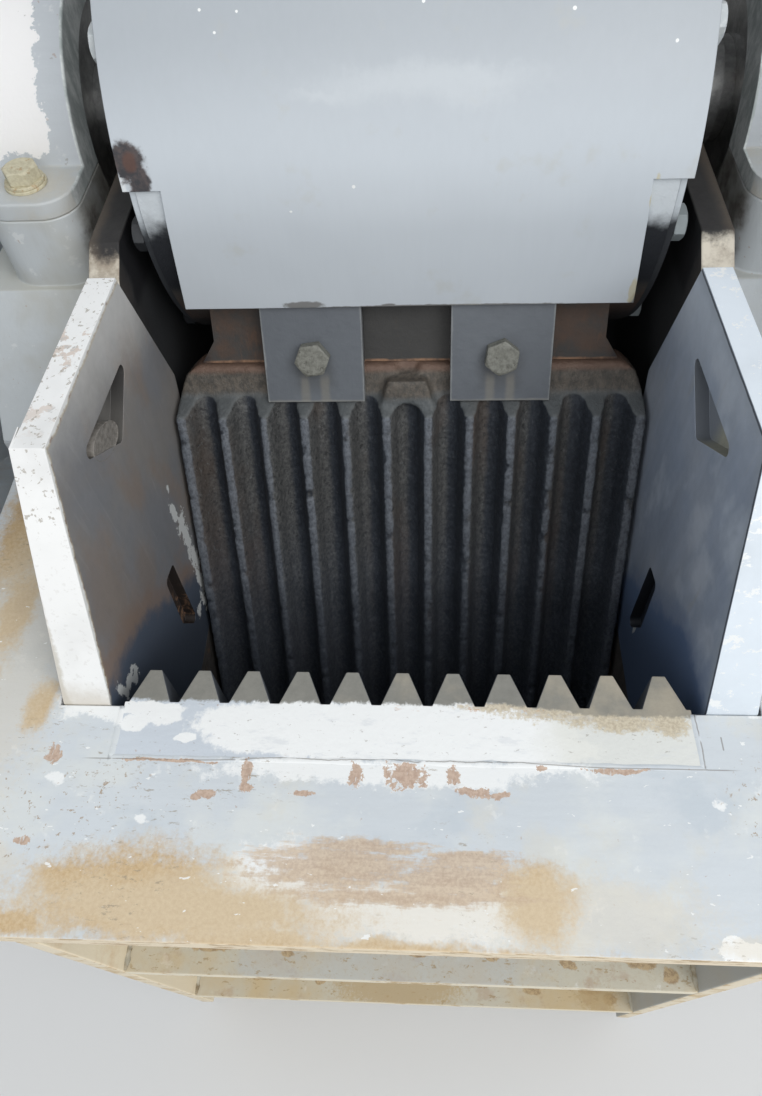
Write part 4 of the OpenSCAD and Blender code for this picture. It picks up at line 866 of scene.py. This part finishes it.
def frontRibPaint():
    p, film, height = platePaint("frontRibPaint", tone(196, 190, 172), tone(198, 174, 130), 0.9)
    grain = p.noise(240, 3, 0.7) - 0.5
    rough = p.noise(26, 5, 0.7) - 0.5
    greyField = p.patches(p.x, p.z, frontRibMarks["grey"], 0.1)
    film = p.blend(film, tone(184, 186, 184), p.fade(greyField + rough, 0.0, 0.5) * 0.6)
    rustField = p.patches(p.x, p.y, frontRibMarks["rust"], 0.02)
    rust = p.fade(rustField + rough * 0.9 + grain * 0.7, 0.0, 0.25)
    film = p.blend(film, p.mottle(tone(150, 122, 84), tone(186, 160, 120), grain, -0.1, 0.1), rust * 0.85)
    bits = p.spots(0.61, 0.65, 70, 4, 0.7, (1, 2, 1), (4, 2, 0))
    film = p.blend(film, tone(160, 136, 98), bits * 0.7)
    lowTan = (1 - p.fade(p.z, 0.2, 0.3)) * p.patches(p.x, p.y, frontRibMarks["lowTan"], 0.03)
    film = p.blend(film, tone(178, 152, 108), p.fade(lowTan + grain, 0.0, 0.4) * 0.7)
    edge = p.fade(0 - p.back, 0.6, 0.9)
    film = p.blend(film, p.mottle(tone(222, 214, 192), tone(184, 160, 120), rough, 0.02, 0.14), edge)
    return p.finish(film, 0.66, height, 0.0007)


def bareMetal(name, light, dark, rust, metallic, roughness):
    p = Paint(name)
    grain = p.noise(60, 5, 0.7)
    film = p.mottle(dark, light, grain, 0.3, 0.7)
    film = p.blend(film, shades["brownRust"], p.spots(0.55, 0.7, 13, 5, 0.65) * rust)
    return p.finish(film, roughness, grain, 0.0006, metallic)


def weldSurface():
    p = Paint("weldSurface")
    film = p.blend(tone(186, 180, 162), tone(150, 134, 106), p.spots(0.4, 0.65, 40, 5, 0.7))
    return p.finish(film, 0.66, p.noise(160, 3), 0.0006)


finishes = {
    "flange": flangePaint(),
    "fixedPlate": fixedPlateSurface(),
    "cheekLeft": cheekSurface("cheekLeftSurface", cheekTones["left"], -1),
    "cheekRight": cheekSurface("cheekRightSurface", cheekTones["right"], 1),
    "guard": guardPaint(),
    "hub": hubPaint(),
    "jawCasting": jawCasting(),
    "manganese": manganeseSurface(),
    "tab": tabPaint(),
    "tabBolt": boltSurface("tabBoltSurface", tone(128, 128, 120), tone(102, 102, 94), tone(66, 64, 58)),
    "capBolt": boltSurface("capBoltSurface", tone(214, 207, 180), tone(194, 185, 156), tone(178, 140, 90)),
    "coverBolt": coverBoltSurface(),
    "housing": housingPaint(),
    "cap": capPaint(),
    "sideWall": sideWallPaint(),
    "wall": bodyPaint("wallPaint", tone(190, 196, 200), tone(170, 156, 134), 0.45),
    "innerWall": innerWallPaint("innerWallPaint", tone(190, 196, 200)),
    "rib": frontRibPaint(),
    "foot": bodyPaint("footPaint", tone(166, 170, 172), tone(160, 146, 122), 0.7),
    "wheel": bodyPaint("wheelPaint", tone(186, 193, 198), tone(160, 148, 130), 0.35, 1.6),
    "weld": weldSurface(),
    "plug": boltSurface("plugSurface", tone(142, 137, 130), tone(112, 107, 101), tone(88, 74, 62)),
    "liner": bareMetal("linerSurface", tone(84, 80, 77), tone(60, 56, 53), 0.7, 0.0, 0.7),
    "casting": bareMetal("castingSurface", tone(104, 102, 100), tone(74, 72, 70), 0.35, 0.0, 0.65),
    "steel": bareMetal("turnedSteel", tone(176, 176, 174), tone(140, 140, 139), 0.1, 0.85, 0.38),
    "rod": bareMetal("rodSteel", tone(140, 138, 134), tone(104, 101, 97), 0.35, 0.6, 0.5),
    "spring": bareMetal("springSteel", tone(104, 106, 110), tone(76, 78, 82), 0.25, 0.5, 0.45),
}
print("finishes ready:", len(finishes))


# edges rounded by a bevel, with large faces kept flat in the light
def softenEdges(piece, width, angle=32):
    edge = piece.modifiers.new("roundedEdges", "BEVEL")
    edge.width = width
    edge.segments = 2
    edge.limit_method = "ANGLE"
    edge.angle_limit = radians(angle)
    edge.harden_normals = True
    piece.modifiers.new("evenShading", "WEIGHTED_NORMAL").keep_sharp = True


record = frame["record"]


def joinMachine(piece, node):
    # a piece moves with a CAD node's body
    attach(piece, "jaw" if node in record["behaviour"]["bodies"]["jaw"] else "frame")


# CAD nodes that keep their form: their edges are rounded on a merged copy
def roundedCopy(node, finish, radius):
    source = frame["nodes"][node]
    shape = bmesh.new()
    shape.from_mesh(source.data)
    bmesh.ops.remove_doubles(shape, verts=shape.verts, dist=1e-5)
    bmesh.ops.dissolve_limit(shape, angle_limit=radians(0.5), verts=shape.verts, edges=shape.edges)
    for face in shape.faces:
        face.smooth = True
    mesh = bpy.data.meshes.new(node + "_finished")
    shape.to_mesh(mesh)
    shape.free()
    mesh.materials.append(finish)
    piece = bpy.data.objects.new(node + "_finished", mesh)
    bpy.context.scene.collection.objects.link(piece)
    softenEdges(piece, radius)
    joinMachine(piece, node)
    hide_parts(node)
    return piece


def placeShape(name, shape, finish, node, smooth=True):
    # a new mesh that rides with a CAD node's body, with the finish it is given
    bmesh.ops.recalc_face_normals(shape, faces=shape.faces)
    for face in shape.faces:
        face.smooth = smooth
    mesh = bpy.data.meshes.new(name)
    shape.to_mesh(mesh)
    shape.free()
    mesh.materials.append(finish)
    piece = bpy.data.objects.new(name, mesh)
    bpy.context.scene.collection.objects.link(piece)
    joinMachine(piece, node)
    return piece


roundedParts = {
    "feed_flange": ("flange", 0.0015),
    "seat_rails": ("wall", 0.0015),
    "front_wall": ("innerWall", 0.0015),
    "side_wall_left": ("sideWall", 0.002),
    "side_wall_right": ("sideWall", 0.002),
    "rear_wall": ("innerWall", 0.0015),
    "front_ribs": ("rib", 0.0015),
    "side_ribs": ("wall", 0.0015),
    "side_gussets": ("wall", 0.0015),
    "rear_ribs": ("wall", 0.0015),
    "base_flange_left": ("foot", 0.002),
    "base_flange_right": ("foot", 0.002),
    "fixed_jaw_plate": ("fixedPlate", 0.0012),
    "cheek_upper_left": ("cheekLeft", 0.002),
    "cheek_upper_right": ("cheekRight", 0.002),
    "cheek_lower_left": ("liner", 0.002),
    "cheek_lower_right": ("liner", 0.002),
    "bearing_seat_left": ("housing", 0.003),
    "bearing_seat_right": ("housing", 0.003),
    "bearing_cap_left": ("cap", 0.003),
    "bearing_cap_right": ("cap", 0.003),
    "bearing_covers": ("cap", 0.002),
    "flywheel": ("wheel", 0.003),
    "pulley": ("wheel", 0.0012),
    "wheel_retainers": ("steel", 0.0015),
    "toggle_plate": ("casting", 0.003),
    "toggle_seat_rear": ("casting", 0.002),
    "adjusting_block": ("casting", 0.002),
    "swing_jaw": ("jawCasting", 0.004),
    "clamp_tab_left": ("tab", 0.001),
    "clamp_tab_right": ("tab", 0.001),
    "hub_cover_left": ("hub", 0.0015),
    "hub_cover_right": ("hub", 0.0015),
    "toggle_seat_jaw": ("casting", 0.002),
}
for node, (finish, radius) in roundedParts.items():
    roundedCopy(node, finishes[finish], radius)

# CAD nodes that are shown as they are
plainParts = {
    "shims": "casting",
    "tension_rod": "rod",
    "tension_spring": "spring",
    "tension_nuts": "rod",
    "tension_pin": "rod",
    "bearings": "steel",
    "eccentric_shaft": "steel",
}
for node, finish in plainParts.items():
    mesh = frame["nodes"][node].data
    mesh.materials.clear()
    mesh.materials.append(finishes[finish])
print("cast and plate parts finished")


# swing jaw plate: battered cast teeth, remeshed from the CAD node and worn in
castTeeth = {
    "edgeRadius": 0.0022,
    "voxel": 0.0045,
    "lumpScale": 34,
    "lumpHeight": 0.0011,
    "grainScale": 120,
    "grainHeight": 0.0005,
    "chipScale": 46,
    "chipDepth": 0.0030,
}


def makeWornPlate(node, finish, values):
    shape = bmesh.new()
    shape.from_mesh(frame["nodes"][node].data)
    bmesh.ops.remove_doubles(shape, verts=shape.verts, dist=1e-5)
    bmesh.ops.dissolve_limit(shape, angle_limit=radians(0.5), verts=shape.verts, edges=shape.edges)
    rough = bpy.data.meshes.new("plateBlank")
    shape.to_mesh(rough)
    shape.free()
    blank = bpy.data.objects.new("plateBlank", rough)
    bpy.context.scene.collection.objects.link(blank)
    softenEdges(blank, values["edgeRadius"])
    remesh = blank.modifiers.new("voxels", "REMESH")
    remesh.mode = "VOXEL"
    remesh.voxel_size = values["voxel"]
    cast = bpy.data.meshes.new_from_object(blank.evaluated_get(bpy.context.evaluated_depsgraph_get()))
    bpy.data.objects.remove(blank)
    bpy.data.meshes.remove(rough)
    shape = bmesh.new()
    shape.from_mesh(cast)
    bpy.data.meshes.remove(cast)
    shape.normal_update()
    lean = radians(jawFace["lean"])
    outward = Vector((0, -cos(lean), sin(lean)))
    crestY, crestZ = jawFace["crest"]
    moves = []
    for vert in shape.verts:
        place = vert.co
        depth = (place.y - crestY) * cos(lean) - (place.z - crestZ) * sin(lean)
        front = max(0.0, vert.normal.dot(outward))
        lump = noise.fractal(place * values["lumpScale"], 0.7, 2.1, 4) * values["lumpHeight"]
        grain = noise.noise(place * values["grainScale"]) * values["grainHeight"]
        chip = max(0.0, noise.fractal(place * values["chipScale"] + Vector((7, 3, 1)), 0.8, 2.0, 3) - 0.25)
        onCrest = max(0.0, 1 - depth / 0.010)
        moves.append((lump + grain - chip * onCrest * values["chipDepth"] * 2) * front)
    for vert, move in zip(shape.verts, moves):
        vert.co += vert.normal * move
    piece = placeShape(node + "_worn", shape, finish, node)
    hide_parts(node)
    print("swing jaw plate:", len(piece.data.polygons), "faces")


makeWornPlate("moving_jaw_plate", finishes["manganese"], castTeeth)


# guard: one sheet rolled over the hub, with a narrower apron that hangs in front
guardSheet = {
    "hub": (0.313, 1.050),
    "outside": 0.2953,
    "thickness": 0.005,
    "halfWidth": 0.292,
    "apronHalf": 0.252,
    "apronFlare": 0.011,
    "apronTop": 1.100,
    "apronDrop": 0.103,
    "backAngle": 160,
    "columnStep": 4,
    "dent": 0.0007,
}


def makeGuard(values, finish):
    hubY, hubZ = values["hub"]
    radius = values["outside"]
    drop = values["apronDrop"]
    length = drop + radius * radians(values["backAngle"])
    apronTurn = (values["apronTop"] - hubZ) / radius
    apronLength = drop + radius * asin(apronTurn)
    columns, rows = 58, 92
    shape = bmesh.new()
    bmesh.ops.create_grid(shape, x_segments=columns, y_segments=rows, size=1)
    edgeColumns = values["columnStep"]
    inner = columns // 2 - edgeColumns
    apronRow = round(apronLength / length * rows)
    for vert in shape.verts:
        column = vert.co.x * columns / 2
        row = (vert.co.y + 1) / 2 * rows
        beyond = max(0.0, abs(column) - inner)
        across = values["apronHalf"] * min(abs(column), inner) / inner
        across += (values["halfWidth"] - values["apronHalf"]) * beyond / edgeColumns
        if row <= apronRow:
            along = apronLength * row / apronRow
            across *= 1 + values["apronFlare"] / values["apronHalf"] * (1 - row / apronRow)
        else:
            along = apronLength + (length - apronLength) * (row - apronRow) / (rows - apronRow)
        across *= 1 if column > 0 else -1
        if along < drop:
            place, out = Vector((across, hubY - radius, hubZ - drop + along)), Vector((0, -1, 0))
        else:
            turn = (along - drop) / radius
            out = Vector((0, -cos(turn), sin(turn)))
            place = Vector((across, hubY, hubZ)) + out * radius
        dent = noise.noise(place * 6) * values["dent"] + noise.noise(place * 19) * values["dent"] * 0.3
        vert.co = place + out * (dent - values["dent"])
    outsideApron = [
        face for face in shape.faces
        if face.calc_center_median().z < values["apronTop"] - 0.001
        and face.calc_center_median().y < hubY - 0.2
        and all(abs(vert.co.x) > values["apronHalf"] - 1e-4 for vert in face.verts)
    ]
    bmesh.ops.delete(shape, geom=outsideApron, context="FACES")
    piece = placeShape("head_guard_sheet", shape, finish, "head_guard")
    if piece.data.polygons[0].normal.y > 0:
        piece.data.flip_normals()
    wall = piece.modifiers.new("sheetThickness", "SOLIDIFY")
    wall.thickness = values["thickness"]
    wall.offset = -1
    softenEdges(piece, 0.0008, 60)
    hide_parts("head_guard")


makeGuard(guardSheet, finishes["guard"])
print("hub guard rolled")


# hexagon heads, forged with a chamfered crown
capHeads = {"across": 0.036, "height": 0.015, "washers": ((0.024, 0.004), (0.0225, 0.004))}
clampHeads = {"across": 0.038, "height": 0.016, "washers": ()}
coverHeads = {"across": 0.034, "height": 0.013, "washers": ()}


def hexHead(across, height, washers):
    shape = bmesh.new()
    level = 0.0
    for radius, thickness in washers:
        ring = bmesh.ops.create_cone(
            shape, cap_ends=True, segments=36, radius1=radius, radius2=radius, depth=thickness,
            matrix=Matrix.Translation((0, 0, level + thickness / 2)))
        edges = {edge for vert in ring["verts"] for edge in vert.link_edges}
        rims = [edge for edge in edges if edge.calc_face_angle(0) > 1]
        bmesh.ops.bevel(
            shape, geom=rims, offset=0.0008, affect="EDGES", segments=2, profile=0.5, material=-1)
        level += thickness
    outline = bmesh.ops.create_circle(shape, cap_ends=True, segments=36, radius=1)["verts"]
    for vert in outline:
        angle = atan2(vert.co.y, vert.co.x)
        reach = across / 2 / cos(angle % (pi / 3) - pi / 6)
        vert.co = (reach * cos(angle), reach * sin(angle), level)
    crown = across / 2 * 0.93
    top = outline[0].link_faces[0]
    for lift in (1, 2):
        raised = bmesh.ops.extrude_face_region(shape, geom=[top])["geom"]
        top = next(item for item in raised if isinstance(item, bmesh.types.BMFace))
        for vert in top.verts:
            reach = vert.co.xy.length
            if lift == 1:
                vert.co.z = level + height - (reach - crown) * tan(radians(30))
            else:
                vert.co = (*(vert.co.xy * crown / reach), level + height)
    return shape


def boltSet(name, heads, places, finish, node):
    whole = bmesh.new()
    spare = bpy.data.meshes.new("oneHead")
    for place in places:
        one = hexHead(**heads)
        bmesh.ops.transform(one, matrix=place, verts=one.verts)
        one.to_mesh(spare)
        one.free()
        whole.from_mesh(spare)
    bpy.data.meshes.remove(spare)
    piece = placeShape(name, whole, finish, node, smooth=False)
    softenEdges(piece, 0.0007, 25)
    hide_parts(node)


def spun(degrees, axis):
    return Matrix.Rotation(radians(degrees), 4, axis)


hubAxis = {"y": 0.313, "z": 1.050}
capBolts = {"across": 0.435, "along": 0.21, "seat": 1.062, "firstTurn": 5, "turn": 12}
clampBolts = {"across": 0.115, "depth": 0.019, "up": 0.073, "turns": (8, 22)}
coverBolts = {"count": 9, "face": 0.288, "circle": 0.270, "firstAngle": 13, "turn": 17}

capPlaces = []
for x in (-capBolts["across"], capBolts["across"]):
    for y in (-capBolts["along"], capBolts["along"]):
        turn = capBolts["turn"] * len(capPlaces) + capBolts["firstTurn"]
        seat = Matrix.Translation((x, hubAxis["y"] + y, capBolts["seat"]))
        capPlaces.append(seat @ spun(turn, "Z"))
boltSet("cap_bolt_heads", capHeads, capPlaces, finishes["capBolt"], "cap_bolts")

faceLean = radians(jawFace["lean"])
facePlace = Vector((0, jawFace["crest"][0], jawFace["crest"][1]))
faceUp = Vector((0, sin(faceLean), cos(faceLean)))
faceIn = Vector((0, cos(faceLean), -sin(faceLean)))
clampPlaces = []
for side, turn in zip((-1, 1), clampBolts["turns"]):
    place = facePlace + faceIn * clampBolts["depth"] + faceUp * clampBolts["up"]
    place.x = side * clampBolts["across"]
    clampPlaces.append(Matrix.Translation(place) @ spun(90 - jawFace["lean"], "X") @ spun(turn, "Z"))
boltSet("clamp_bolt_heads", clampHeads, clampPlaces, finishes["tabBolt"], "clamp_bolts")

coverPlaces = []
for side in (-1, 1):
    for i in range(coverBolts["count"]):
        around = radians(coverBolts["firstAngle"] + 360 / coverBolts["count"] * i)
        y = hubAxis["y"] - coverBolts["circle"] * sin(around)
        z = hubAxis["z"] + coverBolts["circle"] * cos(around)
        seat = Matrix.Translation((side * coverBolts["face"], y, z))
        coverPlaces.append(seat @ spun(90 * side, "Y") @ spun(coverBolts["turn"] * i, "Z"))
boltSet("hub_cover_bolt_heads", coverHeads, coverPlaces, finishes["coverBolt"], "hub_cover_bolts")
print("bolt heads forged")


# paint and filler over the joint between the fixed plate and the flange
jointFiller = {"width": 0.0085, "rise": 0.0007, "sink": 0.0006}


def fillJoint(name, start, end, values):
    run = Vector(end) - Vector(start)
    length = run.length
    along = run / length
    beside = Vector((-along.y, along.x, 0))
    shape = bmesh.new()
    steps = int(length / 0.004)
    bmesh.ops.create_grid(shape, x_segments=steps, y_segments=6, size=1)
    for vert in shape.verts:
        u, v = (vert.co.x + 1) / 2, vert.co.y
        place = Vector(start) + along * (u * length)
        sway = noise.noise(Vector((place.x * 40, place.y * 40, 0.3)))
        width = values["width"] / 2 * (1 + 0.35 * sway)
        lump = noise.noise(Vector((place.x * 90, v * 2, place.y * 90)))
        rise = values["rise"] * (1 - v * v) * (0.8 + 0.6 * lump)
        vert.co = place + beside * (v * width) + Vector((0, 0, rise - values["sink"] * v * v))
    piece = placeShape(name, shape, finishes["flange"], "feed_flange")
    if piece.data.polygons[0].normal.z < 0:
        piece.data.flip_normals()
    body = piece.modifiers.new("depth", "SOLIDIFY")
    body.thickness = 0.003
    body.offset = -1


backY, frontY, flangeTop = -0.470, -0.4175, 0.800
fillJoint("joint_filler_back", (-0.290, backY, flangeTop), (0.290, backY, flangeTop), jointFiller)
for sideName, x in (("left", -0.287), ("right", 0.287)):
    fillJoint("joint_filler_" + sideName, (x, backY, flangeTop), (x, frontY, flangeTop), jointFiller)


# plug in the left cheek's upper pocket
pocketPlug = {
    "centre": (-0.316, -0.202, 0.966),
    "halfLength": 0.034,
    "halfWidth": 0.0175,
    "height": 0.0165,
    "tilt": -26,
    "rim": 0.0025,
}


def makePlug(values, finish):
    shape = bmesh.new()
    outline = bmesh.ops.create_circle(shape, cap_ends=True, segments=40, radius=1)["verts"]
    bmesh.ops.scale(shape, vec=(values["halfLength"], values["halfWidth"], 1), verts=outline)
    raised = bmesh.ops.extrude_face_region(shape, geom=[outline[0].link_faces[0]])["geom"]
    top = next(item for item in raised if isinstance(item, bmesh.types.BMFace))
    bmesh.ops.translate(shape, vec=(0, 0, values["height"]), verts=top.verts)
    bmesh.ops.inset_region(shape, faces=[top], thickness=values["rim"])
    bmesh.ops.translate(shape, vec=(0, 0, -values["rim"] * 0.6), verts=top.verts)
    turn = Matrix(((0, 0, 1), (1, 0, 0), (0, 1, 0))).to_4x4()
    bmesh.ops.transform(shape, matrix=turn @ spun(values["tilt"], "Z"), verts=shape.verts)
    bmesh.ops.translate(shape, vec=values["centre"], verts=shape.verts)
    plug = placeShape("pocket_plug", shape, finish, "cheek_upper_left")
    softenEdges(plug, 0.0008)


makePlug(pocketPlug, finishes["plug"])


# weld beads where plates of the frame meet
weldBead = {"radius": 0.0045, "pitch": 0.0055, "sides": 8}


def weldRun(start, end, values, salt):
    start, run = Vector(start), Vector(end) - Vector(start)
    steps = max(3, int(run.length / values["pitch"]))
    turn = run.to_track_quat("Z", "Y").to_matrix().to_4x4()
    shape = bmesh.new()
    ring = bmesh.ops.create_circle(
        shape, cap_ends=True, segments=values["sides"], radius=values["radius"] * 0.6,
        matrix=Matrix.Translation(start) @ turn)["verts"]
    cap = ring[0].link_faces[0]
    for i in range(1, steps + 1):
        raised = bmesh.ops.extrude_face_region(shape, geom=[cap])["geom"]
        cap = next(item for item in raised if isinstance(item, bmesh.types.BMFace))
        centre = start + run * (i / steps)
        old = cap.calc_center_median()
        reach = values["radius"] * (1 + 0.16 * (-1) ** i + 0.22 * noise.noise(Vector((i * 0.31, salt, 0))))
        reach *= 0.6 if i == steps else 1
        for vert in cap.verts:
            vert.co = centre + (vert.co - old).normalized() * reach
    return shape


weldRuns = []
for side in (-1, 1):
    inner, outer = side * 0.330, side * 0.350
    for ribTop in (0.510, 0.160):
        weldRuns.append(((inner, -0.628, ribTop), (inner, -0.500, ribTop)))
        weldRuns.append(((outer, -0.548, ribTop), (outer, 0.548, ribTop)))
        weldRuns.append(((outer, -0.548, ribTop - 0.020), (outer, 0.548, ribTop - 0.020)))
    weldRuns.append(((inner, -0.494, 0.19), (inner, -0.494, 0.485)))
    weldRuns.append(((inner, -0.494, 0.515), (inner, -0.494, 0.765)))
    for gusset in (-0.465, -0.010, 0.445):
        for low, high in ((0.030, 0.140), (0.160, 0.490), (0.510, 0.770)):
            for y in (gusset, gusset + 0.020):
                weldRuns.append(((outer, y, low + 0.004), (outer, y, high - 0.004)))
    weldRuns.append(((outer, -0.548, 0.770), (outer, 0.548, 0.770)))
    weldRuns.append(((outer, -0.528, 0.030), (outer, 0.528, 0.030)))
for ribTop in (0.510, 0.160):
    weldRuns.append(((-0.325, -0.494, ribTop), (0.325, -0.494, ribTop)))
beads = bmesh.new()
spareBead = bpy.data.meshes.new("oneBead")
for salt, (start, end) in enumerate(weldRuns):
    run = weldRun(start, end, weldBead, salt)
    run.to_mesh(spareBead)
    run.free()
    beads.from_mesh(spareBead)
bpy.data.meshes.remove(spareBead)
placeShape("weld_beads", beads, finishes["weld"], "side_ribs")
print("joints filled and welded")
